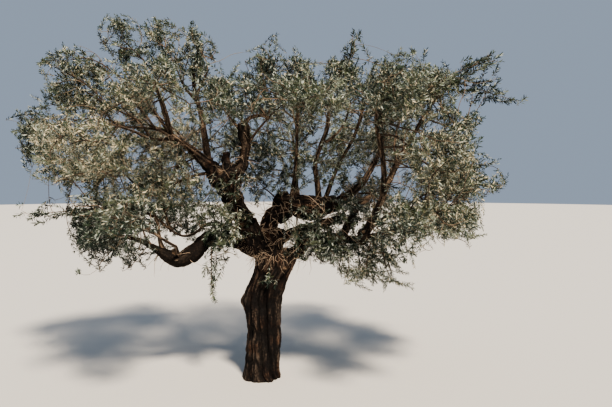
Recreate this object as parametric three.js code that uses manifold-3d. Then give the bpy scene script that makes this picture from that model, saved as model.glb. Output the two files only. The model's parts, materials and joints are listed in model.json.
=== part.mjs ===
// An old olive tree, rooted in level ground: a short, thick, fluted trunk that leans a little
// to the right, a fork at head height, crooked pruned boughs, and a wide crown with an open
// middle. Each bough is a solid of its own, and so is each mass of foliage that it carries.
//
// Millimetres, +Z up. The origin is on the ground, in the middle of the trunk's flat cut.
// -Y is the front and +X is the right as seen from the front.

import * as THREE from "three";
import { mergeVertices } from "three/addons/utils/BufferGeometryUtils.js";
import Module from "manifold-3d";

const wasm = await Module();
wasm.setup();

// Driving dimensions of the trunk.

const FORK_HEIGHT = 1700;
const TRUNK_RING_STEP = 170;
const TRUNK_SIDES = 16;
const FLUTES = 6;
const FLUTE_DEPTH = 0.06;
const FLUTE_TWIST = 0.0009;

// The trunk's middle in X and its half width and half depth, by height above the ground.
const TRUNK_SHAPE = [
  { height: 0, middle: -5, halfWidth: 258, halfDepth: 256 },
  { height: 150, middle: 5, halfWidth: 226, halfDepth: 230 },
  { height: 550, middle: 25, halfWidth: 230, halfDepth: 225 },
  { height: 1020, middle: 15, halfWidth: 252, halfDepth: 235 },
  { height: 1180, middle: 50, halfWidth: 258, halfDepth: 235 },
  { height: 1350, middle: 120, halfWidth: 245, halfDepth: 240 },
  { height: 1530, middle: 175, halfWidth: 275, halfDepth: 260 },
  { height: FORK_HEIGHT, middle: 175, halfWidth: 300, halfDepth: 250 },
];

// The old wound that stands out on the left of the trunk.
const KNOB = { height: 1040, spread: 110, reach: 45, sharpness: 6 };

// The rings that close the trunk above its fork: how far in they are pulled, and how high.
const TRUNK_DOME = [{ inward: 0.72, rise: 70 }, { inward: 0.36, rise: 105 }];

// Driving dimensions of the boughs: how thick each is at its foot, on its way and at its tip,
// and the places that its middle passes through.

const THICK_LIMB_SIDES = 8;
const THIN_LIMB_SIDES = 6;
const THIN_LIMB = 90;
const LIMB_STEP = 290;
const FEWEST_LIMB_STEPS = 3;

const BOUGHS = [
  {
    name: "bough_left_root",
    thick: [290, 225, 290, 300],
    way: [[-20, 0, 1600], [-170, -30, 1970], [-340, -100, 2290], [-490, -150, 2740]],
  },
  {
    name: "bough_left_fan_arm",
    thick: [200, 110, 70, 45],
    way: [
      [-530, -150, 2650], [-820, -250, 2960], [-1140, -300, 3200],
      [-1560, -300, 3380], [-1900, -250, 3560],
    ],
  },
  {
    name: "bough_left_fan_steep",
    thick: [60, 45, 35],
    way: [[-1130, -300, 3200], [-1160, -450, 3420], [-1160, -700, 3580], [-1140, -1060, 3740]],
  },
  {
    name: "bough_left_upright",
    thick: [110, 85, 70, 50],
    way: [[-660, -120, 2720], [-740, 0, 3120], [-800, 60, 3480], [-880, 60, 3730], [-900, 40, 4060]],
  },
  {
    name: "bough_left_pruned",
    thick: [180, 110, 105, 130],
    way: [
      [-420, -150, 2630], [-270, -150, 2740], [-190, -150, 2990],
      [-220, -150, 3210], [-235, -150, 3330],
    ],
  },
  {
    name: "bough_low_left_elbow",
    thick: [190, 150, 125],
    way: [
      [0, 0, 1590], [-300, -100, 1800], [-520, -150, 1880],
      [-690, -200, 1860], [-870, -270, 1660],
    ],
  },
  {
    name: "bough_low_left_reach",
    thick: [135, 120, 80, 55],
    way: [
      [-850, -260, 1690], [-1000, -300, 1580], [-1180, -350, 1650],
      [-1320, -380, 1780], [-1700, -300, 1900],
    ],
  },
  {
    name: "bough_arch_rise",
    thick: [270, 240, 235],
    way: [[90, 60, 1600], [60, 60, 1900], [150, 100, 2130], [330, 120, 2290]],
  },
  {
    name: "bough_arch",
    thick: [235, 245, 220, 150],
    way: [[300, 120, 2270], [520, 120, 2280], [780, 120, 2270], [980, 130, 2300]],
  },
  {
    name: "bough_arch_right",
    thick: [150, 80, 65, 45],
    way: [[950, 130, 2290], [1250, 200, 2480], [1400, 300, 2640], [1580, 500, 2960], [1740, 1050, 3250]],
  },
  {
    name: "bough_arch_upright_left",
    thick: [60, 42, 38],
    way: [[380, 120, 2350], [430, 100, 2650], [460, -100, 3020], [470, -500, 3320], [500, -1050, 3560]],
  },
  {
    name: "bough_arch_upright_mid",
    thick: [85, 65, 60, 45],
    way: [[750, 120, 2330], [730, 100, 2620], [690, 50, 2950], [820, 0, 3130], [910, 0, 3780]],
  },
  {
    name: "bough_arch_upright_right",
    thick: [70, 50, 45],
    way: [[830, 130, 2330], [1000, 300, 2780], [1170, 380, 3070], [1280, 400, 3300], [1380, 300, 3700]],
  },
  {
    name: "bough_right_arm",
    thick: [380, 230, 140, 90],
    way: [[230, -10, 1520], [450, -50, 1740], [700, -80, 1860], [1000, -100, 1850], [1350, -150, 1840]],
  },
  {
    name: "bough_right_arm_end",
    thick: [75, 55, 40],
    way: [[1310, -150, 1830], [1530, -200, 1930], [1740, -250, 2030], [2080, -250, 2110]],
  },
  {
    name: "bough_right_riser",
    thick: [125, 100, 65, 45],
    way: [
      [1290, -140, 1840], [1520, -200, 2270], [1620, -180, 2560],
      [1880, -100, 3050], [2240, 60, 3620],
    ],
  },
  {
    name: "bough_right_riser_left",
    thick: [80, 65, 45],
    way: [
      [1570, -200, 2440], [1560, -350, 2750], [1490, -550, 3060],
      [1410, -800, 3260], [1380, -1050, 3470],
    ],
  },
  {
    name: "bough_right_inner",
    thick: [110, 90, 60],
    way: [
      [1060, -60, 1870], [1190, 100, 2140], [1340, 300, 2310],
      [1520, 600, 2400], [1620, 1100, 2420],
    ],
  },
  {
    name: "bough_back_left",
    thick: [130, 95, 60],
    way: [[-420, -100, 2500], [-660, 260, 2680], [-900, 620, 2870], [-1250, 1130, 3130]],
  },
  {
    name: "bough_back_middle",
    thick: [100, 80, 55],
    way: [[480, 160, 2300], [430, 500, 2550], [440, 900, 2790], [400, 1400, 3130]],
  },
  {
    name: "bough_front_left",
    thick: [110, 80, 55],
    way: [[-860, -270, 1680], [-1010, -540, 1790], [-1140, -800, 1930], [-1260, -1100, 2090]],
  },
  {
    name: "bough_front_right",
    thick: [120, 85, 55],
    way: [[1260, -140, 1850], [1440, -400, 1910], [1620, -700, 1990], [1820, -1020, 2110]],
  },
];

// Driving dimensions of the foliage. UNEVENNESS is how far a mass swells and sinks, as a part
// of its size, and FULLNESS how square its corners are, where 2 is a plain ellipsoid.

const UNEVENNESS = 0.16;
const FULLNESS = 2.6;
const SWELLS = [
  { along: "x", waves: 3.1, shift: 1.3 },
  { along: "y", waves: 3.7, shift: 2.1 },
  { along: "z", waves: 3.3, shift: 3.7 },
];
const LARGE_MASS = 1000;
const LARGE_MASS_FACETS = { round: 10, upright: 6 };
const SMALL_MASS_FACETS = { round: 8, upright: 5 };

// The middle of each mass, its full width, depth and height, and for a spray how far its long
// way climbs to the right, in degrees.
const MASSES = [
  { name: "mass_left_tip", at: [-2840, 0, 3220], size: [820, 1450, 860] },
  { name: "mass_left_shoulder", at: [-2400, 60, 3680], size: [1020, 1750, 640] },
  { name: "mass_left_crest", at: [-2290, -50, 4070], size: [980, 1500, 560] },
  { name: "mass_top_left", at: [-1880, 0, 4400], size: [620, 1500, 760] },
  { name: "mass_top_peak", at: [-1360, 80, 4380], size: [700, 1700, 850] },
  { name: "mass_top_brow", at: [-900, 20, 4230], size: [640, 1600, 850] },
  { name: "mass_left_brow", at: [-640, 60, 3830], size: [660, 1500, 680] },
  { name: "mass_left_heart", at: [-1850, 120, 3620], size: [1150, 1800, 900] },
  { name: "mass_left_side", at: [-2280, 0, 2860], size: [1180, 2050, 940] },
  { name: "mass_left_inside", at: [-1560, 180, 2640], size: [950, 1400, 820] },
  { name: "mass_low_left_outer", at: [-2110, 0, 2090], size: [1150, 1900, 900] },
  { name: "mass_low_left_fore", at: [-1450, -1350, 2170], size: [1250, 1400, 860] },
  { name: "mass_left_fore", at: [-1860, -1250, 2980], size: [1200, 1450, 960] },
  { name: "mass_left_top_fore", at: [-1150, -1350, 3720], size: [1350, 1500, 700] },
  { name: "mass_top_middle", at: [40, 0, 4080], size: [560, 1500, 740] },
  { name: "mass_top_dip", at: [500, 60, 3960], size: [700, 1650, 820] },
  { name: "mass_top_right_inner", at: [1030, 60, 3930], size: [720, 1700, 820] },
  { name: "mass_spire", at: [1180, 0, 4410], size: [270, 360, 460] },
  { name: "mass_top_right", at: [1590, -20, 3900], size: [780, 1700, 860] },
  { name: "mass_top_right_outer", at: [2170, 0, 3850], size: [800, 1650, 860] },
  { name: "mass_right_spray_high", at: [2780, 0, 4010], size: [1000, 360, 300], climb: 28 },
  { name: "mass_right_spray_far", at: [2950, 0, 3770], size: [980, 240, 180], climb: -20 },
  { name: "mass_right_bulge", at: [2470, 0, 3360], size: [920, 1750, 740] },
  { name: "mass_right_side", at: [2560, 0, 2700], size: [1160, 2000, 900] },
  { name: "mass_right_low", at: [2440, 0, 2080], size: [1200, 1800, 760] },
  { name: "mass_right_skirt", at: [1580, -450, 1570], size: [1150, 1050, 760] },
  { name: "mass_under_arm", at: [900, -340, 1700], size: [700, 600, 420] },
  { name: "mass_right_fore", at: [2150, -1220, 2930], size: [1120, 1400, 940] },
  { name: "mass_right_low_fore", at: [1900, -1320, 2180], size: [1180, 1350, 840] },
  { name: "mass_top_dip_fore", at: [620, -1350, 3590], size: [960, 1400, 640] },
  { name: "mass_top_right_fore", at: [1560, -1330, 3610], size: [1200, 1450, 740] },
  { name: "mass_back_left", at: [-1600, 1450, 3330], size: [1500, 1650, 1250] },
  { name: "mass_back_middle", at: [40, 1700, 3430], size: [1900, 1500, 1100] },
  { name: "mass_back_right", at: [1650, 1520, 3280], size: [1500, 1650, 1250] },
  { name: "mass_back_low_left", at: [-1500, 1420, 2350], size: [1400, 1500, 1050] },
  { name: "mass_back_low_right", at: [1550, 1420, 2310], size: [1400, 1500, 940] },
];

// How far a piece is held off the ones that it meets, with more for a mass, whose faces lie
// askew to the way in which it grows, and the looks of the two materials.

const CLEARANCE = 0.5;
const MASS_GROWTH = 1.5;
const BARK = { color: 0x4b3f35, roughness: 0.92, metalness: 0 };
const FOLIAGE = { color: 0x76806a, roughness: 0.7, metalness: 0 };

// A closed geometry through rings of points that all hold the same number of points.
function geometryThroughRings(rings) {
  const sides = rings[0].length;
  const positions = rings.flat().flatMap((point) => [point.x, point.y, point.z]);
  const indices = [];
  for (let ring = 0; ring + 1 < rings.length; ring += 1) {
    for (let side = 0; side < sides; side += 1) {
      const next = (side + 1) % sides;
      const low = ring * sides;
      const high = low + sides;
      indices.push(low + side, low + next, high + next);
      indices.push(low + side, high + next, high + side);
    }
  }
  const firstMiddle = middleOf(rings[0]);
  const lastMiddle = middleOf(rings[rings.length - 1]);
  const foot = positions.length / 3;
  const head = foot + 1;
  positions.push(firstMiddle.x, firstMiddle.y, firstMiddle.z);
  positions.push(lastMiddle.x, lastMiddle.y, lastMiddle.z);
  const top = (rings.length - 1) * sides;
  for (let side = 0; side < sides; side += 1) {
    const next = (side + 1) % sides;
    indices.push(foot, next, side);
    indices.push(head, top + side, top + next);
  }
  const geometry = new THREE.BufferGeometry();
  geometry.setAttribute("position", new THREE.Float32BufferAttribute(positions, 3));
  geometry.setIndex(indices);
  return geometry;
}

function middleOf(points) {
  const sum = points.reduce((total, point) => total.add(point), new THREE.Vector3());
  return sum.divideScalar(points.length);
}

// A value between the given ones, which stand at even steps from 0 to 1.
function alongSteps(values, fraction) {
  const place = fraction * (values.length - 1);
  const index = Math.min(Math.floor(place), values.length - 2);
  return THREE.MathUtils.lerp(values[index], values[index + 1], place - index);
}

// The trunk's shape at one height, smooth between the heights that are given.
function trunkShapeAt(height) {
  let index = 0;
  while (index + 2 < TRUNK_SHAPE.length && TRUNK_SHAPE[index + 1].height < height) {
    index += 1;
  }
  const low = TRUNK_SHAPE[index];
  const high = TRUNK_SHAPE[index + 1];
  const part = THREE.MathUtils.smoothstep(height, low.height, high.height);
  const between = (key) => THREE.MathUtils.lerp(low[key], high[key], part);
  return { middle: between("middle"), halfWidth: between("halfWidth"), halfDepth: between("halfDepth") };
}

// One ring of the trunk: an oval with upright flutes and the knob of the old wound.
function trunkRing(height, growth) {
  const shape = trunkShapeAt(height);
  const ring = [];
  for (let side = 0; side < TRUNK_SIDES; side += 1) {
    const angle = (side / TRUNK_SIDES) * 2 * Math.PI;
    const flute = 1 + FLUTE_DEPTH * Math.cos(FLUTES * angle + FLUTE_TWIST * height);
    const offHeight = (height - KNOB.height) / KNOB.spread;
    const toLeft = Math.max(0, -Math.cos(angle)) ** KNOB.sharpness;
    const knob = KNOB.reach * Math.exp(-offHeight * offHeight) * toLeft;
    const x = shape.middle + Math.cos(angle) * (shape.halfWidth * flute + knob + growth);
    const y = Math.sin(angle) * (shape.halfDepth * flute + growth);
    ring.push(new THREE.Vector3(x, y, height));
  }
  return ring;
}

// The trunk, from its flat cut at the ground to the dome that the boughs stand on.
function trunkGeometry(growth) {
  const rings = [];
  const steps = Math.round(FORK_HEIGHT / TRUNK_RING_STEP);
  for (let step = 0; step <= steps; step += 1) {
    rings.push(trunkRing((step / steps) * FORK_HEIGHT, growth));
  }
  const crownRing = rings[rings.length - 1];
  const crownMiddle = middleOf(crownRing);
  for (const { inward, rise } of TRUNK_DOME) {
    rings.push(crownRing.map((point) => {
      const pulled = crownMiddle.clone().lerp(point, inward);
      pulled.z = FORK_HEIGHT + rise + growth;
      return pulled;
    }));
  }
  return geometryThroughRings(rings);
}

// A bough: a tapering limb of round section along a smooth curve.
function boughGeometry(bough, growth) {
  const curve = new THREE.CatmullRomCurve3(bough.way.map((point) => new THREE.Vector3(...point)));
  const steps = Math.max(FEWEST_LIMB_STEPS, Math.ceil(curve.getLength() / LIMB_STEP));
  const frames = curve.computeFrenetFrames(steps, false);
  const thickest = Math.max(...bough.thick);
  const sides = thickest > THIN_LIMB ? THICK_LIMB_SIDES : THIN_LIMB_SIDES;
  const rings = [];
  for (let step = 0; step <= steps; step += 1) {
    const fraction = step / steps;
    const middle = curve.getPointAt(fraction);
    const radius = alongSteps(bough.thick, fraction) / 2 + growth;
    if (step === 0) {
      middle.addScaledVector(frames.tangents[step], -growth);
    }
    if (step === steps) {
      middle.addScaledVector(frames.tangents[step], growth);
    }
    const ring = [];
    for (let side = 0; side < sides; side += 1) {
      const angle = (side / sides) * 2 * Math.PI;
      const point = middle.clone();
      point.addScaledVector(frames.normals[step], Math.cos(angle) * radius);
      point.addScaledVector(frames.binormals[step], Math.sin(angle) * radius);
      ring.push(point);
    }
    rings.push(ring);
  }
  return geometryThroughRings(rings);
}

// A mass of foliage: a rounded solid whose surface swells and sinks in long waves, which lie
// in another place on each mass.
function massGeometry(mass, growth) {
  const meanSize = mass.size.reduce((total, side) => total + side, 0) / mass.size.length;
  const facets = meanSize >= LARGE_MASS ? LARGE_MASS_FACETS : SMALL_MASS_FACETS;
  const ball = new THREE.SphereGeometry(1, facets.round, facets.upright);
  ball.deleteAttribute("normal");
  ball.deleteAttribute("uv");
  const geometry = mergeVertices(ball);
  const place = MASSES.indexOf(mass);
  const halfSize = new THREE.Vector3(...mass.size).multiplyScalar(0.5);
  const middle = new THREE.Vector3(...mass.at);
  const turn = new THREE.Euler(0, THREE.MathUtils.degToRad(-(mass.climb ?? 0)), 0);
  const positions = geometry.getAttribute("position");
  for (let index = 0; index < positions.count; index += 1) {
    const way = new THREE.Vector3().fromBufferAttribute(positions, index).normalize();
    let swelling = 1 - UNEVENNESS / 2;
    for (const { along, waves, shift } of SWELLS) {
      swelling += (UNEVENNESS / 2) * Math.sin(waves * way[along] + shift * place);
    }
    const powers = way.toArray().reduce((total, part) => total + Math.abs(part) ** FULLNESS, 0);
    const point = way.clone().multiply(halfSize).multiplyScalar(swelling / powers ** (1 / FULLNESS));
    point.addScaledVector(way, growth * MASS_GROWTH);
    point.applyEuler(turn).add(middle);
    positions.setXYZ(index, point.x, point.y, point.z);
  }
  return geometry;
}

function solidOf(geometry) {
  return new wasm.Manifold(new wasm.Mesh({
    numProp: 3,
    vertProperties: new Float32Array(geometry.getAttribute("position").array),
    triVerts: new Uint32Array(geometry.getIndex().array),
  }));
}

// The largest body of what a cut leaves, so that no sliver stays beside it.
function largestBody(cut) {
  const mesh = cut.getMesh();
  const corners = mesh.triVerts;
  const group = Array.from({ length: mesh.vertProperties.length / mesh.numProp }, (_, index) => index);
  const rootOf = (vertex) => {
    let root = vertex;
    while (group[root] !== root) {
      root = group[root];
    }
    group[vertex] = root;
    return root;
  };
  for (let corner = 0; corner < corners.length; corner += 3) {
    group[rootOf(corners[corner + 1])] = rootOf(corners[corner]);
    group[rootOf(corners[corner + 2])] = rootOf(corners[corner]);
  }
  const bodies = new Map();
  for (let corner = 0; corner < corners.length; corner += 3) {
    const root = rootOf(corners[corner]);
    const faces = bodies.get(root) ?? [];
    faces.push(...corners.slice(corner, corner + 3));
    bodies.set(root, faces);
  }
  const largest = [...bodies.values()].sort((one, other) => other.length - one.length)[0];
  const geometry = new THREE.BufferGeometry();
  geometry.setAttribute("position", new THREE.Float32BufferAttribute(mesh.vertProperties, mesh.numProp));
  geometry.setIndex(largest);
  return geometry;
}

// Adds a piece to the tree, cut clear of the pieces that stand there already.
function addPiece(tree, placed, name, shape, look) {
  const own = shape(0);
  own.computeBoundingBox();
  let solid = solidOf(own);
  for (const other of placed) {
    if (other.box.intersectsBox(own.boundingBox)) {
      solid = solid.subtract(other.grown);
    }
  }
  const grown = shape(CLEARANCE);
  grown.computeBoundingBox();
  placed.push({ box: grown.boundingBox, grown: solidOf(grown) });
  const geometry = largestBody(solid);
  geometry.computeVertexNormals();
  const piece = new THREE.Mesh(geometry, new THREE.MeshStandardMaterial(look));
  piece.name = name;
  tree.add(piece);
}

const tree = new THREE.Group();
const placed = [];
addPiece(tree, placed, "trunk", trunkGeometry, BARK);
for (const bough of BOUGHS) {
  addPiece(tree, placed, bough.name, (growth) => boughGeometry(bough, growth), BARK);
}
for (const mass of MASSES) {
  addPiece(tree, placed, mass.name, (growth) => massGeometry(mass, growth), FOLIAGE);
}

export default tree;
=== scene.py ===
import heapq
import json
import math

import bmesh
import bpy
import numpy as np
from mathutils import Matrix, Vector
from mathutils.bvhtree import BVHTree
from mathutils.kdtree import KDTree


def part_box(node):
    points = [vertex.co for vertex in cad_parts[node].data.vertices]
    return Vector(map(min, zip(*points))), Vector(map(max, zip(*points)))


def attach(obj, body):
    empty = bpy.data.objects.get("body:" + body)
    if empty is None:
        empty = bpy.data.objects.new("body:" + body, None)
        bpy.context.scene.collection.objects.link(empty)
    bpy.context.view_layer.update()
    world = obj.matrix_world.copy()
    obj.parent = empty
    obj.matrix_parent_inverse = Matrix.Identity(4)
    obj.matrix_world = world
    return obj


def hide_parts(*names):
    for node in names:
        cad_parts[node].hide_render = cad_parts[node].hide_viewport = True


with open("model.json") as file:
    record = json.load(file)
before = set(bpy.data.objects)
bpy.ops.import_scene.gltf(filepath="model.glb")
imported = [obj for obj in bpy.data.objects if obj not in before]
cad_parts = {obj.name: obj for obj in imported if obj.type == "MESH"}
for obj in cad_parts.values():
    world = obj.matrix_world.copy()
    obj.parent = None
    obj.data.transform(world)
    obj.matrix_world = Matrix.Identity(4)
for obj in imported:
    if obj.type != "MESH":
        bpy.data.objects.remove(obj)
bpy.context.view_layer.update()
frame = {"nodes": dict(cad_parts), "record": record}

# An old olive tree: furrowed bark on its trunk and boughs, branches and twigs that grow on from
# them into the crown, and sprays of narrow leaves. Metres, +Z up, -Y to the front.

TINY = 1e-9
LEVEL_AXES = np.eye(3)[:2]

# The camera stands in front of the tree at the photograph's viewing angle.
CAMERA_PLACE = (0.58, -8.0, 2.645)
CAMERA_TILT = math.radians(87.6)
CAMERA_LENS = 35.76


# Random numbers, vectors and lines.

# Each step of the work has a number of its own; masses, patches and single twigs count on.
SEED = 61
GROWTH_DICE = 1
SHOOT_DICE = 2
DEAD_TWIG_DICE = 4
LEAF_DICE = 5
TONE_DICE = 6
MASS_DICE = 100
PATCH_DICE = 200
STRAY_DICE = 300


def dice(step):
    """Random numbers of their own for each step of the work, the same on every run."""
    return np.random.default_rng([SEED, step])


def unit(vectors):
    return vectors / np.maximum(np.linalg.norm(vectors, axis=-1, keepdims=True), TINY)


# Large numbers and shifts that mix a corner's place and the noise's seed.
CORNER_FACTORS = np.array((73856093, 19349663, 83492791))
SEED_FACTOR = 40503
SEED_START = 977
LAST_FACTOR = 1274126177
FIRST_SHIFT = 13
LAST_SHIFT = 16
LOW_BITS = 0xFFFF


def lattice_value(corner, seed):
    """A number from -1 to 1 that belongs to a corner of the noise's lattice."""
    mixed = np.bitwise_xor.reduce(corner * CORNER_FACTORS, axis=1)
    mixed = mixed ^ (seed * SEED_FACTOR + SEED_START)
    mixed = (mixed ^ (mixed >> FIRST_SHIFT)) * LAST_FACTOR
    mixed = mixed ^ (mixed >> LAST_SHIFT)
    return (mixed & LOW_BITS) / (LOW_BITS / 2) - 1


def smooth_noise(points, cell, seed):
    """Noise from -1 to 1 that swells and sinks over about one cell, at each of the points."""
    places = np.asarray(points, float) / cell
    corner = np.floor(places).astype(np.int64)
    inside = places - corner
    ease = inside * inside * (3 - 2 * inside)
    total = np.zeros(len(places))
    for step in np.ndindex(2, 2, 2):
        share = np.prod(np.where(np.array(step) == 1, ease, 1 - ease), axis=1)
        total += share * lattice_value(corner + np.array(step), seed)
    return total


def distances(points, line):
    """How far each point is from each place of a line."""
    return np.linalg.norm(points[:, None, :] - line[None, :, :], axis=2)


def way_along(line):
    """How far each place of a line is from its start."""
    return np.concatenate([[0.0], np.cumsum(np.linalg.norm(np.diff(line, axis=0), axis=1))])


def interpolated(wanted, along, line):
    """The places at the wanted distances along a line."""
    return np.stack([np.interp(wanted, along, line[:, axis]) for axis in range(3)], axis=-1)


FEWEST_PLACES = 4


def even_steps(line, step):
    """The same line with its points at even steps."""
    along = way_along(line)
    count = max(FEWEST_PLACES, int(round(along[-1] / step)) + 1)
    return interpolated(np.linspace(0, along[-1], count), along, line)


def softened(values, rounds):
    """Values along a line, each moved halfway to the mean of its neighbours, with ends kept."""
    values = np.array(values, float)
    for _ in range(rounds):
        values[1:-1] = 0.5 * values[1:-1] + 0.25 * (values[:-2] + values[2:])
    return values


CURVE_PARTS = 8


def smooth_way(way, step):
    """A smooth line through the given places."""
    places = np.asarray(way, float)
    padded = np.concatenate([2 * places[:1] - places[1:2], places, 2 * places[-1:] - places[-2:-1]])
    part = np.linspace(0, 1, CURVE_PARTS, endpoint=False)[:, None]
    curves = []
    for before, here, there, after in zip(padded, padded[1:], padded[2:], padded[3:]):
        curves.append(0.5 * (2 * here + (there - before) * part
                             + (2 * before - 5 * here + 4 * there - after) * part ** 2
                             + (3 * here - before - 3 * there + after) * part ** 3))
    return even_steps(np.concatenate(curves + [places[-1:]]), step)


def carried_sides(tangents):
    """A side vector for each place on a line that turns no more than the line does."""
    least = np.eye(3)[np.argmin(np.abs(tangents[0]))]
    side = unit(np.cross(tangents[0], least))
    sides = [side]
    for tangent in tangents[1:]:
        side = unit(side - tangent * (side @ tangent))
        sides.append(side)
    return np.array(sides)


def around(side, up, sides):
    """Directions in a circle that starts at side and turns towards up."""
    angles = np.arange(sides) / sides * 2 * math.pi
    return side[..., None, :] * np.cos(angles)[:, None] + up[..., None, :] * np.sin(angles)[:, None]


class Limb:
    """A limb's middle line from foot to tip, its radius there and a frame carried along it."""

    def __init__(self, name, points, radii):
        self.name = name
        self.points = np.asarray(points, float)
        self.radii = np.asarray(radii, float)
        self.along = way_along(self.points)
        self.tangents = unit(np.gradient(self.points, axis=0))
        self.sides = carried_sides(self.tangents)
        self.ups = np.cross(self.tangents, self.sides)

    def at(self, distance):
        """The place, the radius and the direction at some distance from the foot."""
        after = np.searchsorted(self.along, distance).clip(0, len(self.along) - 1)
        place = interpolated(distance, self.along, self.points)
        return place, np.interp(distance, self.along, self.radii), self.tangents[after]

    def resampled(self, step):
        """The same limb with its points at other steps."""
        line = even_steps(self.points, step)
        wanted = np.linspace(0, self.along[-1], len(line))
        return Limb(self.name, line, np.interp(wanted, self.along, self.radii))


# Middle lines of the limbs, read from the frame's solids.

LINE_STEP = 0.05
SAME_PLACE = 1e-5
MOST_SPLITS = 4
FITTING_ROUNDS = 3
LINE_SOFTENING = 2
RADIUS_SOFTENING = 3
FACET_CORRECTION = 1.03


def split_short(node):
    """The solid's surface with its long edges split, so that it has a place every few centimetres."""
    shape = bmesh.new()
    shape.from_mesh(node.data)
    bmesh.ops.remove_doubles(shape, verts=shape.verts[:], dist=SAME_PLACE)
    for _ in range(MOST_SPLITS):
        long_edges = [edge for edge in shape.edges if edge.calc_length() > LINE_STEP]
        if not long_edges:
            break
        bmesh.ops.subdivide_edges(shape, edges=long_edges, cuts=1)
        bmesh.ops.triangulate(shape, faces=shape.faces[:])
    shape.verts.ensure_lookup_table()
    return shape


def walked_from(shape, start):
    """How far each vertex is from the start along the edges."""
    far = [math.inf] * len(shape.verts)
    far[start] = 0.0
    queue = [(0.0, start)]
    while queue:
        here, index = heapq.heappop(queue)
        if here > far[index]:
            continue
        vertex = shape.verts[index]
        for edge in vertex.link_edges:
            other = edge.other_vert(vertex).index
            there = here + edge.calc_length()
            if there < far[other]:
                far[other] = there
                heapq.heappush(queue, (there, other))
    return np.array(far)


def area_means(middles, areas, place):
    """The mean place of the faces of each group, larger faces counting more."""
    total = np.bincount(place, weights=areas)
    filled = total > 0
    sums = [np.bincount(place, weights=areas * middles[:, axis]) for axis in range(3)]
    return np.stack([each[filled] / total[filled] for each in sums], axis=1)


def middle_line(node, trunk_head):
    """A limb's middle line and radius, from the end nearer to the trunk's head to its tip."""
    shape = split_short(node)
    places = np.array([vertex.co for vertex in shape.verts])
    foot = int(np.argmin(np.linalg.norm(places - trunk_head, axis=1)))
    from_tip = walked_from(shape, int(np.argmax(walked_from(shape, foot))))
    middles = np.array([face.calc_center_median() for face in shape.faces])
    areas = np.array([face.calc_area() for face in shape.faces])
    reach = np.array([np.mean([from_tip[vertex.index] for vertex in face.verts])
                      for face in shape.faces])
    shape.free()
    line = area_means(middles, areas, (reach / (2 * LINE_STEP)).astype(int))[::-1]
    for _ in range(FITTING_ROUNDS):
        line = even_steps(softened(line, LINE_SOFTENING), LINE_STEP)
        line = area_means(middles, areas, np.argmin(distances(middles, line), axis=1))
    line = even_steps(softened(line, LINE_SOFTENING), LINE_STEP)
    nearest = np.argmin(distances(middles, line), axis=1)
    tangents = unit(np.gradient(line, axis=0))
    offset = middles - line[nearest]
    offset -= tangents[nearest] * np.sum(offset * tangents[nearest], axis=1, keepdims=True)
    reach = np.linalg.norm(offset, axis=1)
    total = np.bincount(nearest, weights=areas, minlength=len(line))
    radii = np.bincount(nearest, weights=areas * reach, minlength=len(line)) / np.maximum(total, TINY)
    radii[-1] = radii[-2]
    return line, softened(radii, RADIUS_SOFTENING) * FACET_CORRECTION


# How thick a limb is as a share of its solid, at even steps from its foot to its tip.
THICKNESS_SHARES = {
    "bough_left_fan_arm": (1.0, 0.72, 0.60, 0.55),
    "bough_front_left": (0.45, 0.4),
    "bough_arch": (1.10, 1.22, 1.15),
    "bough_arch_rise": (1.0, 1.12),
}

# Limbs that run along the limb they stand on: where the foot ends inside it, and how much of the
# solid's middle line is left out.
LED_FEET = {
    "bough_front_left": ((-1.02, -0.29, 1.61), 0.25),
    "bough_low_left_reach": ((-0.82, -0.25, 1.74), 0.05),
}
BURIED_SHARE = 0.8
BURIED_LENGTH = 0.03
NEAR_TRUNK_HEAD = 0.5
TRUNK_HEART_DEPTH = 0.2


def limb_from(node, trunk_head):
    """The limb in a solid, with its foot led on into the wood that it stands on. A bough that
    stands on the trunk's head is led on to the heart of the trunk."""
    line, radii = middle_line(node, trunk_head)
    foot_radius = float(np.median(radii[: max(3, len(radii) // 3)]))
    foot, left_out = LED_FEET.get(node.name, (None, BURIED_SHARE * foot_radius))
    cut = min(len(line) - FEWEST_PLACES, int(round(left_out / LINE_STEP)) + 1)
    line = line[cut:]
    radii = radii[cut:]
    shares = THICKNESS_SHARES.get(node.name, (1.0, 1.0))
    radii = radii * np.interp(np.linspace(0, 1, len(radii)), np.linspace(0, 1, len(shares)), shares)
    if foot is None and np.linalg.norm(line[0] - trunk_head) < NEAR_TRUNK_HEAD:
        foot = trunk_head - (0, 0, TRUNK_HEART_DEPTH)
    elif foot is None:
        foot = line[0] + unit(line[0] - line[2]) * (cut * LINE_STEP + foot_radius + BURIED_LENGTH)
    count = max(2, round(np.linalg.norm(foot - line[0]) / LINE_STEP))
    steps = np.linspace(1, 0, count, endpoint=False)[:, None]
    line = np.concatenate([line[0] + (foot - line[0]) * steps, line])
    return Limb(node.name, line, np.concatenate([np.full(count, radii[0]), radii]))


def solid_of(nodes):
    """What a ray can hit: the surfaces of one or more solids."""
    points = []
    faces = []
    for node in nodes:
        start = len(points)
        points += [vertex.co[:] for vertex in node.data.vertices]
        faces += [tuple(start + index for index in face.vertices) for face in node.data.polygons]
    return BVHTree.FromPolygons(points, faces)


# The trunk's surface: rings of points, smoothed lightly, and strongly at its head.
TRUNK_RING_STEP = 0.02
TRUNK_SIDES = 96
TRUNK_DOME = 0.11
TRUNK_ABOVE_CUT = 0.01
TRUNK_BELOW_CUT = 0.04
TRUNK_HEAD_START = 1.25
TRUNK_HEAD_BLEND = 0.2
LIGHT_ROUNDS = 9
STRONG_ROUNDS = 60
TRUNK_LINE_ROUNDS = 12
CENTRING_ROUNDS = 2


def smoothed_reaches(reaches, rounds):
    """The trunk's radii, by ring and side, each moved halfway to the mean of its neighbours."""
    for _ in range(rounds):
        beside = np.roll(reaches, 1, axis=1) + np.roll(reaches, -1, axis=1)
        reaches = softened(0.5 * reaches + 0.25 * beside, 1)
    return reaches


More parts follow.
